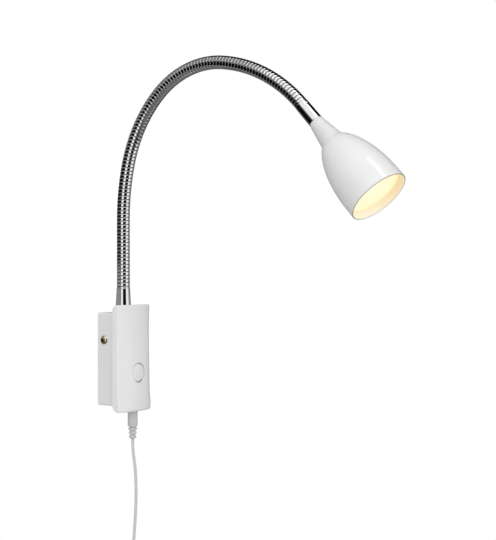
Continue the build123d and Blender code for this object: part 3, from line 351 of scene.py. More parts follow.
def weigh_normals(piece):
    """Lets the large faces rule the shading, so that flats stay flat beside rounded edges."""
    apply_modifier(piece, "WEIGHTED_NORMAL", {"keep_sharp": True})


def finished_copy(node, name, angle, material):
    """The solid's own shape as a welded piece, smooth across its rounded edges."""
    solid = frame["nodes"][node]
    piece = bpy.data.objects.new(name, solid.data.copy())
    scene.collection.objects.link(piece)
    choose(piece)
    bpy.ops.object.mode_set(mode="EDIT")
    bpy.ops.mesh.select_all(action="SELECT")
    bpy.ops.mesh.remove_doubles(threshold=0.002 * MM)
    bpy.ops.mesh.dissolve_limited(angle_limit=math.radians(0.3))
    bpy.ops.object.mode_set(mode="OBJECT")
    bpy.ops.object.shade_smooth_by_angle(angle=math.radians(angle))
    weigh_normals(piece)
    piece.data.materials.clear()
    piece.data.materials.append(material)
    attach(piece, solid["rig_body"])
    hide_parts(node)
    return piece


housing_white = moulded("housing_white", HOUSING_SHADE, HOUSING_TONE, 0.34, 0.10)
finished_copy("rear_housing", "wall_housing", 35, housing_white)


# Side screws: brass machine screws with a domed head and a cross recess, one in each side wall.
# Each is turned, and its two slots are cut at a slant. The brass is a little tarnished.
SCREW_SEAT = 19.1
SCREW_DEPTH = 8.6
SCREW_LEVEL = 18.8
HEAD_RADIUS = 4.45
HEAD_EDGE = 1.2
HEAD_DOME = 2.5
RECESS_SLANTS = (40, 130)
RECESS_SIZE = (5.2, 1.1, 2.0)
RECESS_HEIGHT = 2.6


def skin(name, rows, marks=None, capped=True):
    """Grid laid on rows of points, welded where they meet, with its open ends filled."""
    across, along = len(rows[0]) - 1, len(rows) - 1
    bpy.ops.object.select_all(action="DESELECT")
    bpy.ops.mesh.primitive_grid_add(x_subdivisions=across, y_subdivisions=along, size=2.0)
    piece = bpy.context.object
    piece.name = name
    spots = [(round(vert.co.y, 5), round(vert.co.x, 5)) for vert in piece.data.vertices]
    order = sorted(range(len(spots)), key=spots.__getitem__)
    for index, place in zip(order, (place for row in rows for place in row)):
        piece.data.vertices[index].co = place
    if marks:
        layer = piece.data.attributes.new("mark", "FLOAT", "POINT")
        for index, value in zip(order, (value for row in marks for value in row)):
            layer.data[index].value = value
    bpy.ops.object.mode_set(mode="EDIT")
    bpy.ops.mesh.select_all(action="SELECT")
    bpy.ops.mesh.remove_doubles(threshold=0.0005 * MM)
    if capped:
        bpy.ops.mesh.select_all(action="DESELECT")
        bpy.ops.mesh.select_mode(type="EDGE")
        bpy.ops.mesh.select_non_manifold()
        bpy.ops.mesh.fill_holes(sides=0)
    bpy.ops.mesh.select_all(action="SELECT")
    bpy.ops.mesh.normals_make_consistent(inside=False)
    bpy.ops.object.mode_set(mode="OBJECT")
    return piece


def axis_at(place, towards):
    """Frame in millimetres with its Z axis from a place towards a direction, and a level X axis."""
    z_axis = Vector(towards).normalized()
    x_axis = Vector((1, 0, 0)) if abs(z_axis.x) < 0.9 else Vector((0, 1, 0))
    turned = Matrix((x_axis, z_axis.cross(x_axis), z_axis)).transposed().to_4x4()
    return Matrix.Translation(Vector(place) * MM) @ turned @ Matrix.Scale(MM, 4)


def lathe(name, profile, axis, points=72, marks=None):
    """Turned piece: one ring for each (radius, height) of its profile, each with its mark."""
    angles = [2 * math.pi * number / points for number in range(points)] + [0.0]
    turns = [(math.cos(angle), math.sin(angle)) for angle in angles]
    rows = [
        [axis @ Vector((radius * x, radius * y, level)) for x, y in turns] for radius, level in profile
    ]
    return skin(name, rows, [[mark] * (points + 1) for mark in marks or ()])


def soften(piece, width, smooth=40):
    """Rounds the piece's edges a little and smooths its faces."""
    if width:
        sharp = {"limit_method": "ANGLE", "angle_limit": math.radians(32)}
        apply_modifier(piece, "BEVEL", {"width": width * MM, "segments": 2, **sharp})
    choose(piece)
    bpy.ops.object.shade_smooth_by_angle(angle=math.radians(smooth))


def cut_away(piece, cutter):
    """Takes the cutter's shape out of a piece and deletes the cutter."""
    settings = {"operation": "DIFFERENCE", "object": cutter, "solver": "EXACT"}
    apply_modifier(piece, "BOOLEAN", settings)
    bpy.data.objects.remove(cutter)


def fit(piece, material, body, *nodes):
    """Gives a piece its finish, its body and the solids that it stands for."""
    piece.data.materials.clear()
    piece.data.materials.append(material)
    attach(piece, body)
    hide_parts(*nodes)
    return piece


screw_profile = [(0.0, -6.5), (1.7, -6.5), (2.0, -6.2), (2.0, 0.0), (4.2, 0.0), (HEAD_RADIUS, 0.2)]
for step in range(10):
    angle = math.radians(10 * step)
    screw_profile.append((HEAD_RADIUS * math.cos(angle), HEAD_EDGE + HEAD_DOME * math.sin(angle)))
screws = []
for side in (-1, 1):
    axis = axis_at((side * SCREW_SEAT, -SCREW_DEPTH, SCREW_LEVEL), (side, 0, 0))
    screw = lathe("brass_side_screws", screw_profile, axis, 48)
    for slant in RECESS_SLANTS:
        bpy.ops.mesh.primitive_cube_add(size=1.0)
        slot = bpy.context.object
        slanted = axis @ Matrix.Rotation(math.radians(slant), 4, "Z")
        slot.matrix_world = slanted @ Matrix.Translation((0, 0, RECESS_HEIGHT))
        slot.scale = Vector(RECESS_SIZE) * MM
        bpy.ops.object.transform_apply(location=True, rotation=True, scale=True)
        cut_away(screw, slot)
    screws.append(screw)
choose(screws[0])
screws[1].select_set(True)
bpy.ops.object.join()
soften(screws[0], 0, smooth=35)
screw_brass, places, shader = new_finish("screw_brass", {"Metallic": 1.0})
tarnish = noise(places, 500.0, 4.0)
brass_tones = (
    (0.28, (0.42, 0.33, 0.20, 1)),
    (0.46, (0.78, 0.68, 0.48, 1)),
    (0.64, (0.92, 0.84, 0.66, 1)),
)
tarnish.node("ShaderNodeValToRGB", {"stops": brass_tones}, {0: tarnish}).feed(shader, "Base Color")
(0.14 + 0.16 * tarnish).feed(shader, "Roughness")
bump(shader, tarnish, 0.12, 0.03 * MM)
fit(screws[0], screw_brass, "base", "side_screws")


# Front cover: moulded shell in white plastic with an oval nose and a slight waist, closed from
# behind by the plate. Rings of its outline by height are skinned, thickened and then bored.
COVER_HALF = 24.0
COVER_BOTTOM = -51.5
COVER_TOP = 53.3
COVER_REAR = 22.2
NOSE_START = 29.2
NOSE_DRAW = 1.8
DRAW_FROM = 6.0
DRAW_OVER = 16.0
NOSE_TIP = 35.6
NOSE_STEPS = 48
COVER_WALL = 2.2
TOP_RIM = 1.5
BOTTOM_RIM = 2.4
RIM_STEPS = 7
TOP_RADIUS = 5.0
BOTTOM_RADIUS = 7.0
WAIST = ((0.0, 1.1), (0.16, 1.3), (0.51, -0.4), (1.0, 0.5))
OPENING_HALF = 21.8
OPENING_BOTTOM = -44.5
HOUSING_TOP = 45.7
LOWER_CORNER_LEVELS = (-48.4, -47.6, -46.8, -45.8)
SIDE_RINGS = 44
UPPER_CORNER_LEVELS = (47.0, 48.3, 49.4, 50.4, 51.2)
BUTTON_LEVEL = -13.5
BUTTON_BORE = 9.85
PLUG_DEPTH = 27.7
PLUG_BORE = 3.1
ARM_DEPTH = 15.6
ARM_BORE = 7.8
COVER_DARK = (0.87, 0.87, 0.865, 1)
COVER_LIGHT = (0.92, 0.92, 0.915, 1)


def bored(piece, place, towards, radius, length):
    """Cuts a round hole that starts at a place and runs in a direction."""
    cutter = lathe("cutter", ((radius, 0.0), (radius, length)), axis_at(place, towards), 96)
    cut_away(piece, cutter)


def waist(level):
    """How far the nose stands out at a height, a cubic through the four given places."""
    share = (level - COVER_BOTTOM) / (COVER_TOP - COVER_BOTTOM)
    total = 0.0
    for place, bulge in WAIST:
        for other, _ in WAIST:
            if other != place:
                bulge *= (share - other) / (place - other)
        total += bulge
    return total


def cover_back(level):
    """Depth of the cover's rear at a height, with its rounded upper and lower corners."""
    above, below = level - COVER_TOP + TOP_RADIUS, OPENING_BOTTOM - level
    for radius, rise in ((TOP_RADIUS, above), (BOTTOM_RADIUS, below)):
        if rise > 0:
            return COVER_REAR + radius - math.sqrt(max(radius**2 - rise**2, 0.0))
    return COVER_REAR


def cover_ring(level, inset):
    """Outline at one height: left side, nose, right side and the line across the rear."""
    half, back = COVER_HALF - inset, cover_back(level)
    drawn = min(1.0, max(0.0, (level - COVER_BOTTOM - DRAW_FROM) / DRAW_OVER))
    start = NOSE_START - NOSE_DRAW * drawn * drawn * (3 - 2 * drawn)
    nose = NOSE_TIP - start + waist(level) - inset
    ring = [(-half, back + share * (start - back)) for share in (0.0, 0.12, 0.5, 0.88)]
    for step in range(NOSE_STEPS + 1):
        angle = math.pi * (1 - step / NOSE_STEPS)
        ring.append((half * math.cos(angle), start + nose * math.sin(angle)))
    ring += [(half, start - share * (start - back)) for share in (0.12, 0.5, 0.88, 1.0)]
    ring += [(OPENING_HALF * share, back) for share in (1.0, 0.67, 0.33, 0.0, -0.33, -0.67, -1.0)]
    return [Vector((x, -depth, level)) * MM for x, depth in ring + ring[:1]]


rim_shares = []
for step in range(RIM_STEPS):
    angle = math.pi / 2 * step / RIM_STEPS
    rim_shares.append((1 - math.sin(angle), 1 - math.cos(angle)))
ring_step = (HOUSING_TOP - OPENING_BOTTOM) / SIDE_RINGS
side_levels = [OPENING_BOTTOM + ring_step * step for step in range(SIDE_RINGS)] + [HOUSING_TOP]
levels = [(COVER_BOTTOM, BOTTOM_RIM)]
levels += [(COVER_BOTTOM + BOTTOM_RIM * rise, BOTTOM_RIM * inset) for rise, inset in rim_shares[::-1]]
levels += [(level, 0.0) for level in (*LOWER_CORNER_LEVELS, *side_levels, *UPPER_CORNER_LEVELS)]
levels += [(COVER_TOP - TOP_RIM * fall, TOP_RIM * inset) for fall, inset in rim_shares]
levels += [(COVER_TOP, TOP_RIM)]
cover = skin("front_cover_shell", [cover_ring(*level) for level in levels])
choose(cover)
bpy.ops.object.mode_set(mode="EDIT")
bpy.ops.mesh.select_all(action="DESELECT")
bpy.ops.mesh.select_mode(type="FACE")
shell = bmesh.from_edit_mesh(cover.data)
for face in shell.faces:
    middle = face.calc_center_median() / MM
    behind_it = -middle.y < COVER_REAR + 0.01 and abs(middle.x) < OPENING_HALF
    face.select = behind_it and OPENING_BOTTOM < middle.z < HOUSING_TOP
bmesh.update_edit_mesh(cover.data)
bpy.ops.mesh.delete(type="FACE")
bpy.ops.object.mode_set(mode="OBJECT")
apply_modifier(cover, "SOLIDIFY", {"thickness": COVER_WALL * MM, "offset": -1.0})
bored(cover, (0, -27.0, BUTTON_LEVEL), (0, -1, 0), BUTTON_BORE, 14.0)
bored(cover, (0, -PLUG_DEPTH, COVER_BOTTOM - 1.0), (0, 0, 1), PLUG_BORE, 8.0)
bored(cover, (0, -ARM_DEPTH, HOUSING_TOP - 1.0), (0, 0, 1), ARM_BORE, 10.0)
soften(cover, 0.5, smooth=34)
weigh_normals(cover)
cover_white = moulded("cover_white", COVER_DARK, COVER_LIGHT, 0.30, 0.06)
fit(cover, cover_white, "base", "front_cover")
inner_white = moulded("inner_white", (0.66, 0.67, 0.67, 1), (0.76, 0.77, 0.77, 1), 0.5, 0.2)
dress(("cover_plate",), inner_white)


# Circuit board behind the cover, with its chips, the switch and the supply socket. All of it is
# hidden, so the solids stay as they are with plain finishes.
def grey(tone):
    """Neutral colour of a tone."""
    return (tone, tone, tone, 1)


board_lacquer = moulded("board_lacquer", (0.02, 0.13, 0.05, 1), (0.04, 0.21, 0.08, 1), 0.35, 0.2, 0.4)
dress(("circuit_board",), board_lacquer)
chip_resin = moulded("chip_resin", grey(0.02), grey(0.05), 0.5, 0.3)
dress(("board_parts", "switch_body", "dc_socket"), chip_resin)
dress(("switch_plunger",), moulded("plunger_grey", grey(0.26), grey(0.34), 0.4, 0.2))
contact_nickel = plated("contact_nickel", (0.52, 0.50, 0.46, 1), (0.72, 0.70, 0.66, 1), 0.22)
dress(("socket_pin", "plug_barrel"), contact_nickel)


# Push button: a crowned round cap of the cover's plastic, turned about its own axis, with a step
# round its face and a stop flange behind the cover. It slides straight in against the switch.
FLANGE_RADIUS = 10.6
FLANGE_BACK = 31.3
FLANGE_FRONT = 32.3
BUTTON_RADIUS = 9.5
BUTTON_SHOULDER = 33.3
BUTTON_FACE = 8.85
BUTTON_RIM = 34.75
BUTTON_CROWN = 0.9
BUTTON_EDGE = 0.45
button_profile = [(0.0, FLANGE_BACK), (FLANGE_RADIUS, FLANGE_BACK)]
button_profile += [(FLANGE_RADIUS, FLANGE_FRONT), (BUTTON_RADIUS, FLANGE_FRONT)]
button_profile += [(BUTTON_RADIUS, BUTTON_SHOULDER), (BUTTON_FACE, BUTTON_SHOULDER)]
for step in range(5):
    angle = math.pi / 2 * step / 4
    inset, drop = BUTTON_EDGE * (1 - math.cos(angle)), BUTTON_EDGE * (1 - math.sin(angle))
    button_profile.append((BUTTON_FACE - inset, BUTTON_RIM - drop))
for share in (0.92, 0.84, 0.72, 0.58, 0.42, 0.26, 0.1, 0.0):
    button_profile.append((share * BUTTON_FACE, BUTTON_RIM + BUTTON_CROWN * (1 - share**2)))
button = lathe("push_button_cap", button_profile, axis_at((0, 0, BUTTON_LEVEL), (0, -1, 0)), 96)
soften(button, 0, smooth=34)
button_white = moulded("button_white", COVER_DARK, COVER_LIGHT, 0.28, 0.05)
fit(button, button_white, "button", "push_button")


# Lower ferrule: turned brass, chrome plated, flared to its foot. Its stem goes through the
# housing's top and is held by the washer and nut, and the arm's foot is pressed into it.
def chrome_plate(name, dark, light, roughness):
    """Bright chrome: nearly even, with a faint haze and polishing marks."""
    material, places, shader = new_finish(name, {"Metallic": 1.0})
    haze = noise(places, 180.0, 3.0)
    marks = noise(places, 1500.0, 2.0, (1, 1, 0.15))
    (haze * 0.5 + marks * 0.5).blend(dark, light).feed(shader, "Base Color")
    (roughness + 0.05 * (haze - 0.5)).feed(shader, "Roughness")
    bump(shader, marks, 0.03, 0.01 * MM)
    return material


chrome = chrome_plate("ferrule_chrome", (0.74, 0.745, 0.75, 1), (0.86, 0.865, 0.87, 1), 0.07)
FERRULE = (
    (4.0, -14.0),
    (4.0, 0.0),
    (7.5, 0.0),
    (7.5, 6.8),
    (7.42, 8.4),
    (7.25, 11.0),
    (7.02, 15.0),
    (6.82, 19.5),
    (6.66, 23.2),
    (6.60, 24.1),
    (6.30, 24.3),
    (6.0, 24.2),
    (5.9, 18.0),
)
ferrule = lathe("lower_ferrule_turned", FERRULE, axis_at((0, -ARM_DEPTH, HOUSING_TOP), (0, 0, 1)))
soften(ferrule, 0.25)
fit(ferrule, chrome, "base", "lower_ferrule")


# Flexible arm: round steel wire wound into a close helix and chromed, so its outside is a row of
# beads. The lengths between the ball seats ride on their links, and a stretch is laid over each seat.
ARM_FOOT = 70.0
ARM_ARCS = ((230.0, 14.0), (132.0, 32.0), (94.0, 52.0), (148.0, 39.4))
ARM_RIBS = 107
ARM_PITCH = 3.6
ARM_RADIUS = 6.4
BEAD_DEPTH = 1.00
BEAD_CURVE = 14.0
BEAD_STEPS = (0.0, 0.03, 0.06, 0.11, 0.25, 0.5, 0.75, 0.89, 0.94, 0.97)
BEAD_POINTS = 36
ARM_STRAIGHT = ARM_RIBS * ARM_PITCH - sum(radius * math.radians(swing) for radius, swing in ARM_ARCS)
SEATS = (3, 8, 13, 18, 27, 37, 45, 53, 59, 65, 71, 77, 84, 92, 101)
SEAT_REACH = (2, 2, 2, 2, 3, 3, 3, 2, 2, 2, 2, 2, 3, 3, 3)
TURNED_FROM_ABOVE = 12
ARM_HIDDEN_ENDS = (-2, 108)


def arm_frame(along):
    """Place on the arm's middle line, the way along it, and the way up from it."""
    out, level, heading = 0.0, ARM_FOOT + min(along, ARM_STRAIGHT), math.pi / 2
    left = along - ARM_STRAIGHT
    for radius, swing in ARM_ARCS:
        if left <= 0:
            break
        end = heading - min(left / radius, math.radians(swing))
        out += radius * (math.sin(heading) - math.sin(end))
        level += radius * (math.cos(end) - math.cos(heading))
        left -= radius * (heading - end)
        heading = end
    left = max(left, 0.0)
    out += left * math.cos(heading)
    level += left * math.sin(heading)
    forward = Vector((0, -math.cos(heading), math.sin(heading)))
    upward = Vector((0, math.sin(heading), math.cos(heading)))
    return Vector((0, -ARM_DEPTH - out, level)), forward, upward


def bead_radius(step):
    """Outside of the wire across one pitch: a broad crest between narrow grooves."""
    return ARM_RADIUS - BEAD_DEPTH * abs(2 * step - 1) ** BEAD_CURVE


def groove_share(step):
    """1 in the groove between two windings, and 0 on the crest."""
    return min(1.0, max(0.0, abs(2 * step - 1) * 6 - 4.7))


def mark_of(places):
    """The mark that the piece's rows were given."""
    return places.node("ShaderNodeAttribute", {"attribute_name": "mark"}, {}, output="Fac")


arm_chrome, places, shader = new_finish("arm_chrome", {"Metallic": 1.0})
groove = mark_of(places)
haze = noise(places, 240.0, 3.0)
# Painted shade: the grooves between the windings get a near-black base colour.
groove_shade = groove * 0.92 + haze * 0.08
groove_shade.blend((0.86, 0.865, 0.87, 1), (0.06, 0.06, 0.062, 1)).feed(shader, "Base Color")
(0.03 + 0.15 * groove + 0.03 * haze).feed(shader, "Roughness")


def wound_wire(name, first, last):
    """The arm's outside from one rib to another, open at both ends."""
    rows, marks = [], []
    for level in range((last - first) * len(BEAD_STEPS) + 1):
        step = BEAD_STEPS[level % len(BEAD_STEPS)]
        rib = first + level // len(BEAD_STEPS) + step
        row = []
        for point in range(BEAD_POINTS + 1):
            angle = 2 * math.pi * point / BEAD_POINTS
            middle, _, upward = arm_frame((rib + point / BEAD_POINTS) * ARM_PITCH)
            radial = math.cos(angle) * upward - math.sin(angle) * Vector((1, 0, 0))
            row.append((middle + bead_radius(step) * radial) * MM)
        rows.append(row)
        marks.append([groove_share(step)] * (BEAD_POINTS + 1))
    wire = skin(name, rows, marks, capped=False)
    soften(wire, 0, smooth=70)
    wire.data.materials.append(arm_chrome)
    return wire


links = ["base"] + [f"arm_{number:02d}" for number in range(1, 15)] + ["head"]
stiff_from = [ARM_HIDDEN_ENDS[0]] + [seat + reach for seat, reach in zip(SEATS, SEAT_REACH)]
stiff_to = [seat - reach - 1 for seat, reach in zip(SEATS, SEAT_REACH)] + [ARM_HIDDEN_ENDS[1]]
left_over = {number: [f"arm_link_{number:02d}"] for number in range(len(links))}
for number, body in enumerate(links):
    if stiff_to[number] > stiff_from[number]:
        length = wound_wire(f"arm_length_{number:02d}", stiff_from[number], stiff_to[number])
        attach(length, body)
        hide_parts(*left_over.pop(number))
for number, (seat, reach) in enumerate(zip(SEATS, SEAT_REACH)):
    stretch = wound_wire(f"arm_stretch_{number:02d}", stiff_to[number], stiff_from[number + 1])
    ends = [arm_frame(rib * ARM_PITCH)[0] * MM for rib in (seat - reach, seat + reach)]
    bodies = links[number : number + 2]
    if number == TURNED_FROM_ABOVE:
        ends.reverse()
        bodies.reverse()
    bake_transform(stretch)
    if number in left_over:
        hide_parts(*left_over[number])
    if number == len(SEATS) - 1:
        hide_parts("arm_lead")


# Upper ferrule: the same chrome, a plain sleeve crimped on the arm's end with one small dent. Its
# stem goes into the shade's neck, where the nut holds it.
SLEEVE = 23.0
SLEEVE_RADIUS = 6.8
SLEEVE_TAPER = 0.25
SLEEVE_RINGS = 40
DENT_ANGLE = math.radians(121.7)
DENT_RADIUS = 6.55
DENT_LEVEL = -19.0
DENT_REACH = 1.5
DENT_DEPTH = 0.55
head_place, head_way, _ = arm_frame(ARM_RIBS * ARM_PITCH + SLEEVE)
head_axis = axis_at(head_place, head_way)
sleeve_profile = [(4.0, 17.0), (4.0, 0.0), (6.45, 0.0), (6.75, -0.25)]
for step in range(SLEEVE_RINGS + 1):
    share = step / SLEEVE_RINGS
    sleeve_profile.append((SLEEVE_RADIUS - SLEEVE_TAPER * share, -0.6 - (SLEEVE - 1.1) * share))
sleeve_profile += [(6.3, -SLEEVE), (5.5, -SLEEVE), (5.5, -11.0)]
sleeve = lathe("upper_ferrule_sleeve", sleeve_profile, head_axis, 96)
dent_way = Vector((math.cos(DENT_ANGLE), math.sin(DENT_ANGLE), 0))
dent_middle = Vector((0, 0, DENT_LEVEL))
dent = head_axis @ (dent_middle + DENT_RADIUS * dent_way)
inward = (head_axis @ dent_middle - dent).normalized()
for vert in sleeve.data.vertices:
    near = (vert.co - dent).length / (DENT_REACH * MM)
    if near < 1:
        vert.co += inward * DENT_DEPTH * MM * (1 - near**2) ** 2
soften(sleeve, 0, smooth=36)
fit(sleeve, chrome, "head", "upper_ferrule")


# Shade: spun aluminium in glossy white enamel, a conical neck and a bell with a crease between
# them. Its outside and inside are one turned profile, with a rounded lip at the mouth.
NECK_RADIUS = 6.9
CREASE = 24.6
CREASE_RADIUS = 11.0
BELL_WIDEST = 84.0
BELL_RADIUS = 28.3
SHADE_LENGTH = 93.5
SHADE_WALL = 0.9
SHADE_BORE = 4.1
NECK_RINGS = 12
MOUTH_OUTSIDE = 28.4
MOUTH_INSIDE = 26.9
LIP_STEPS = 8
AT_NECK, AT_BELL, AT_LIP, AT_INSIDE = -0.5, 0.0, 0.5, 1.0
LIP_MARKS = [AT_BELL] + [AT_LIP] * 5 + [AT_INSIDE] * 3


def bell(inset, steps):
    """Oval side of the bell from the crease to its widest place."""
    first = -math.acos(CREASE_RADIUS / BELL_RADIUS)
    height = (CREASE - BELL_WIDEST) / math.sin(first)
    side = []
    for step in range(steps + 1):
        angle = first * (1 - step / steps)
        side.append((BELL_RADIUS * math.cos(angle) - inset, BELL_WIDEST + height * math.sin(angle)))
    return side


outside = [(SHADE_BORE, 0.0), (NECK_RADIUS - 0.25, 0.0), (NECK_RADIUS, 0.2)]
for step in range(1, NECK_RINGS):
    share = step / NECK_RINGS
    outside.append((NECK_RADIUS + (CREASE_RADIUS - NECK_RADIUS) * share, CREASE * share))
neck_rows = len(outside) + 1
outside += bell(0.0, 40)
outside += [(28.32, 86.0), (28.36, 88.0), (MOUTH_OUTSIDE, 91.5), (MOUTH_OUTSIDE, 92.6)]
lip_middle = (MOUTH_OUTSIDE + MOUTH_INSIDE) / 2
lip_radius = (MOUTH_OUTSIDE - MOUTH_INSIDE) / 2
lip = []
for step in range(LIP_STEPS + 1):
    angle = math.pi * step / LIP_STEPS
    level = SHADE_LENGTH - lip_radius + lip_radius * math.sin(angle)
    lip.append((lip_middle + lip_radius * math.cos(angle), level))
inside = [(MOUTH_INSIDE, level) for level in (92.6, 91.5, 90.0, 88.0, 86.0, 84.0)]
inside += [(27.1, 82.0)] + bell(SHADE_WALL, 24)[-3::-1]
inside += [(7.27, 12.0), (SHADE_BORE, 12.0), (SHADE_BORE, 0.0)]
marks = [AT_NECK] * neck_rows + [AT_BELL] * (len(outside) - neck_rows)
marks += LIP_MARKS + [AT_INSIDE] * len(inside)
shade = lathe("shade_shell", outside + lip + inside, head_axis, 128, marks)
soften(shade, 0, smooth=24)
enamel_gloss = {"Coat Weight": 0.35, "Coat Roughness": 0.035, "Specular IOR Level": 0.2}
shade_white, places, shader = new_finish("shade_enamel", {**enamel_gloss, "Emission Strength": 1.0})
drift = noise(places, 30.0, 3.0)
peel = noise(places, 700.0, 2.0)
mark = mark_of(places)
at_neck = mark.between(-9.0, -0.25, 0.12)
at_lip = mark.between(0.35, 0.72, 0.12)
at_inside = mark.between(0.78, 9.0, 0.12)
enamel = (drift * 0.7 + peel * 0.3).blend((0.83, 0.835, 0.84, 1), (0.87, 0.87, 0.87, 1))
# Painted shade: the neck is a little greyer than the bell.
enamel = at_neck.blend(enamel, (0.765, 0.77, 0.775, 1))
# The lip is a darker grey-brown.
enamel = at_lip.blend(enamel, (0.57, 0.55, 0.50, 1))
# Painted light: the inside gets a warm base colour for the lamp's light on it.
at_inside.blend(enamel, (0.78, 0.69, 0.56, 1)).feed(shader, "Base Color")

# Painted light: the inside also glows by its own emission for the lamp's light on it, paler towards
# the rim's lower left and more yellow at its right
PALER_SIDE = Vector((-0.446, 0.636, -0.63))
mouth_middle = head_axis @ Vector((0, 0, 90.0))
across = (places.dot(PALER_SIDE) - PALER_SIDE.dot(mouth_middle)) * (1 / (28.0 * MM))
painted_inside_glow = across.between(-0.1, 9.0, 0.95).blend((0.225, 0.155, 0.045, 1), (0.28, 0.30, 0.29, 1))
at_inside.blend((0, 0, 0, 1), painted_inside_glow).feed(shader, "Emission Color")
(0.26 + 0.08 * (drift - 0.5)).feed(shader, "Roughness")
bump(shader, peel, 0.05, 0.04 * MM)
fit(shade, shade_white, "head", "shade")


# Lamp in the shade: finned aluminium sink, white lamp board with its chips, and a cone that
# throws the light on the diffuser. All are hidden behind the diffuser, so their solids stay.
sink_aluminium = plated("sink_aluminium", (0.55, 0.56, 0.57, 1), (0.74, 0.74, 0.75, 1), 0.42)
dress(("heat_sink",), sink_aluminium)
dress(("led_board", "reflector"), moulded("lamp_white", grey(0.78), grey(0.86), 0.4, 0.1))
chip_phosphor = moulded("chip_phosphor", (0.72, 0.52, 0.08, 1), (0.85, 0.66, 0.16, 1), 0.5, 0.2)
dress(("led_chips",), chip_phosphor)


# Diffuser: pale opal disc that is lit from behind, warmer towards its rim, and the plain ring
# that is pressed into the bell in front of it.
DISC_BACK = 83.0
DISC_FRONT = 85.0
DISC_RADIUS = 26.65
DISC_FLAT = 26.5
DISC_RINGS = 12
disc_profile = [(0.0, DISC_BACK), (DISC_FLAT, DISC_BACK)]
disc_profile += [(DISC_RADIUS, DISC_BACK + 0.2), (DISC_RADIUS, DISC_FRONT - 0.2)]
for step in range(DISC_RINGS + 1):
    disc_profile.append((DISC_FLAT * (1 - step / DISC_RINGS), DISC_FRONT))
diffuser = lathe("diffuser_disc", disc_profile, head_axis, 96)
soften(diffuser, 0)
opal = {"Base Color": (0.1, 0.1, 0.09, 1), "Roughness": 0.5, "Emission Strength": 1.0}
diffuser_lit, places, shader = new_finish("diffuser_lit", opal)
centre = head_axis @ Vector((0, 0, DISC_FRONT))
measure = {"operation": "DISTANCE"}
offset = places.node("ShaderNodeVectorMath", measure, {0: places, 1: centre}, output=1)
rim_share = (offset * (1 / (DISC_RADIUS * MM))).between(0.25, 9.0, 0.75)
rim_share.blend((0.96, 0.92, 0.70, 1), (0.94, 0.85, 0.55, 1)).feed(shader, "Emission Color")
fit(diffuser, diffuser_lit, "head", "diffuser")
ring_profile = [(26.85, DISC_FRONT), (26.85, 86.4), (26.4, 86.6), (24.9, 86.6), (24.65, 86.4)]
ring_profile += [(24.65, DISC_FRONT), (26.85, DISC_FRONT)]
ring = lathe("diffuser_ring", ring_profile, head_axis, 96)
soften(ring, 0)
# Painted light: the ring's warm base colour and its emission stand in for the lamp's light on it; the
# ring is no lamp.
ring_painted_glow, places, shader = new_finish("ring_painted_glow", {"Roughness": 0.45, "Emission Strength": 1.0})
grain = noise(places, 900.0, 2.0)
grain.blend((0.80, 0.71, 0.55, 1), (0.84, 0.75, 0.59, 1)).feed(shader, "Base Color")
grain.blend((0.37, 0.29, 0.14, 1), (0.40, 0.31, 0.15, 1)).feed(shader, "Emission Color")
fit(ring, ring_painted_glow, "head", "retaining_ring")


# Plug: soft grey-white moulding with a straight grip and three round ribs that bend with the
# cord. It is pushed into the socket from below and pulls straight out.
GRIP_RADIUS = 4.9
GRIP_LENGTH = 15.5
RELIEF_LENGTH = 12.0
RELIEF_PITCH = RELIEF_LENGTH / 3
RELIEF_STEPS = 72
RIB_MIDDLE = 0.575
RIB_HALF = 0.33
plug_profile = [(0.0, 0.0), (4.1, 0.0), (4.55, -0.15), (4.8, -0.4)]
plug_profile += [(GRIP_RADIUS, level) for level in (-0.8, -4.0, -9.0, -14.4)]
plug_profile += [(4.78, -14.9), (4.5, -15.3), (4.0, -GRIP_LENGTH)]
for step in range(1, RELIEF_STEPS + 1):
    share = step / RELIEF_STEPS
    along = RELIEF_LENGTH * step / RELIEF_STEPS
    from_rib = (along / RELIEF_PITCH % 1 - RIB_MIDDLE) / RIB_HALF
    rib = (1.3 - 0.2 * share) * max(1 - from_rib**2, 0.0) ** 0.45
    plug_profile.append((3.2 - 0.9 * share + rib, -GRIP_LENGTH - along))
plug_profile.append((1.4, -GRIP_LENGTH - RELIEF_LENGTH))
plug_axis = axis_at((0, -PLUG_DEPTH, COVER_BOTTOM), (0, 0, 1))
plug = lathe("plug_moulding", plug_profile, plug_axis, 72)
soften(plug, 0, smooth=50)
plug_grey = moulded("plug_grey", (0.57, 0.58, 0.56, 1), (0.65, 0.66, 0.64, 1), 0.42, 0.1)
fit(plug, plug_grey, "plug", "plug_body")


# Cord: thin white two-core lead. It hangs from the plug's relief, is wound into a tied coil below
# and ends in the plug-in supply. One spline follows the whole route.
CORD_EXIT = Vector((0.0, -PLUG_DEPTH, -79.0))
CORD_ROUTE = (
    (0.0, 0.0, 0.0),
    (0.0, 0.0, -11.0),
    (1.5, -2.0, -27.0),
    (2.2, -2.9, -52.0),
    (1.6, -2.2, -78.0),
    (0.4, -0.9, -102.0),
    (0.0, -0.5, -120.0),
    (0.0, -0.5, -131.0),
)
COIL_MIDDLE = Vector((23.5, -28.2, -213.0))
COIL_RADIUS = 23.5
COIL_STEP = 4.0
COIL_LAYERS = 4
HALF_TURNS = 6
TURN_POINTS = 8
TAIL_LEVELS = (-216.0, -225.0, -236.0, -246.0)
CORD_DIAMETER = 3.0

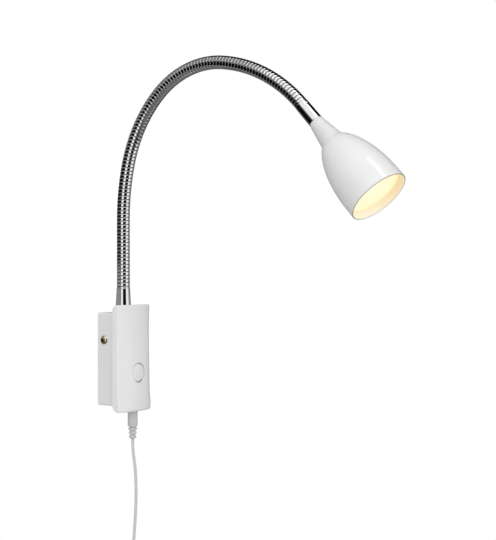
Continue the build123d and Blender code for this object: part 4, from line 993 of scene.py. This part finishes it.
cord_points = [CORD_EXIT + Vector(offset) for offset in CORD_ROUTE]
radius, side = COIL_RADIUS, -1
half_turns = []
for layer in range(COIL_LAYERS):
    change = -COIL_STEP / 2 if layer % 2 == 0 else COIL_STEP / 2
    for _ in range(HALF_TURNS):
        half_turns.append((radius, radius + change, layer, layer))
        radius += change
    if layer < COIL_LAYERS - 1:
        half_turns.append((radius, radius, layer, layer + 1))
half_turns.append((radius, radius + COIL_STEP / 2, COIL_LAYERS - 1, COIL_LAYERS - 1))
for start, end, low_layer, high_layer in half_turns:
    middle = COIL_MIDDLE + Vector((side * (start - end) / 2, 0, 0))
    reach = (start + end) / 2 / math.cos(math.pi / TURN_POINTS / 2)
    for point in range(TURN_POINTS):
        share = (point + 0.5) / TURN_POINTS
        angle = math.pi * share
        layer = low_layer + (high_layer - low_layer) * share
        x, z = side * reach * math.cos(angle), side * reach * math.sin(angle)
        cord_points.append(middle + Vector((x, -COIL_STEP * layer, z)))
    side = -side
tail_x = COIL_MIDDLE.x - radius - COIL_STEP / 2
tail_y = COIL_MIDDLE.y - COIL_STEP * (COIL_LAYERS - 1)
cord_points += [Vector((tail_x, tail_y, level)) for level in TAIL_LEVELS]

cord_curve = bpy.data.curves.new("supply_cord", "CURVE")
cord_curve.dimensions = "3D"
cord_curve.bevel_depth = CORD_DIAMETER / 2 * MM
cord_curve.bevel_resolution = 3
cord_curve.use_fill_caps = True
route = cord_curve.splines.new("NURBS")
route.points.add(len(cord_points) - 1)
for spot, place in zip(route.points, cord_points):
    spot.co = (*(place * MM), 1.0)
route.order_u = 3
route.use_endpoint_u = True
route.resolution_u = 6
cord = bpy.data.objects.new("supply_cord", cord_curve)
scene.collection.objects.link(cord)
cord_white = moulded("cord_white", (0.63, 0.635, 0.63, 1), (0.71, 0.715, 0.71, 1), 0.4, 0.12)
fit(cord, cord_white, "plug", "cord_drop", "cord_coil", "cord_tail")


# Tie and plug-in supply: a plain plastic band round the coil, and a two-shell white supply with
# two round pins and a tapered relief. They hang on the cord.
tie_white = moulded("tie_white", grey(0.72), grey(0.80), 0.45, 0.2)
tie = finished_copy("coil_tie", "coil_band", 40, tie_white)
supply_white = moulded("supply_white", (0.74, 0.745, 0.75, 1), (0.81, 0.815, 0.82, 1), 0.42, 0.25)
relief = finished_copy("supply_relief", "supply_cord_relief", 35, plug_grey)
dress(("supply_back", "supply_front"), supply_white)
dress(("supply_pins",), contact_nickel)
dress(("supply_core",), moulded("core_grey", grey(0.20), grey(0.28), 0.6, 0.3))
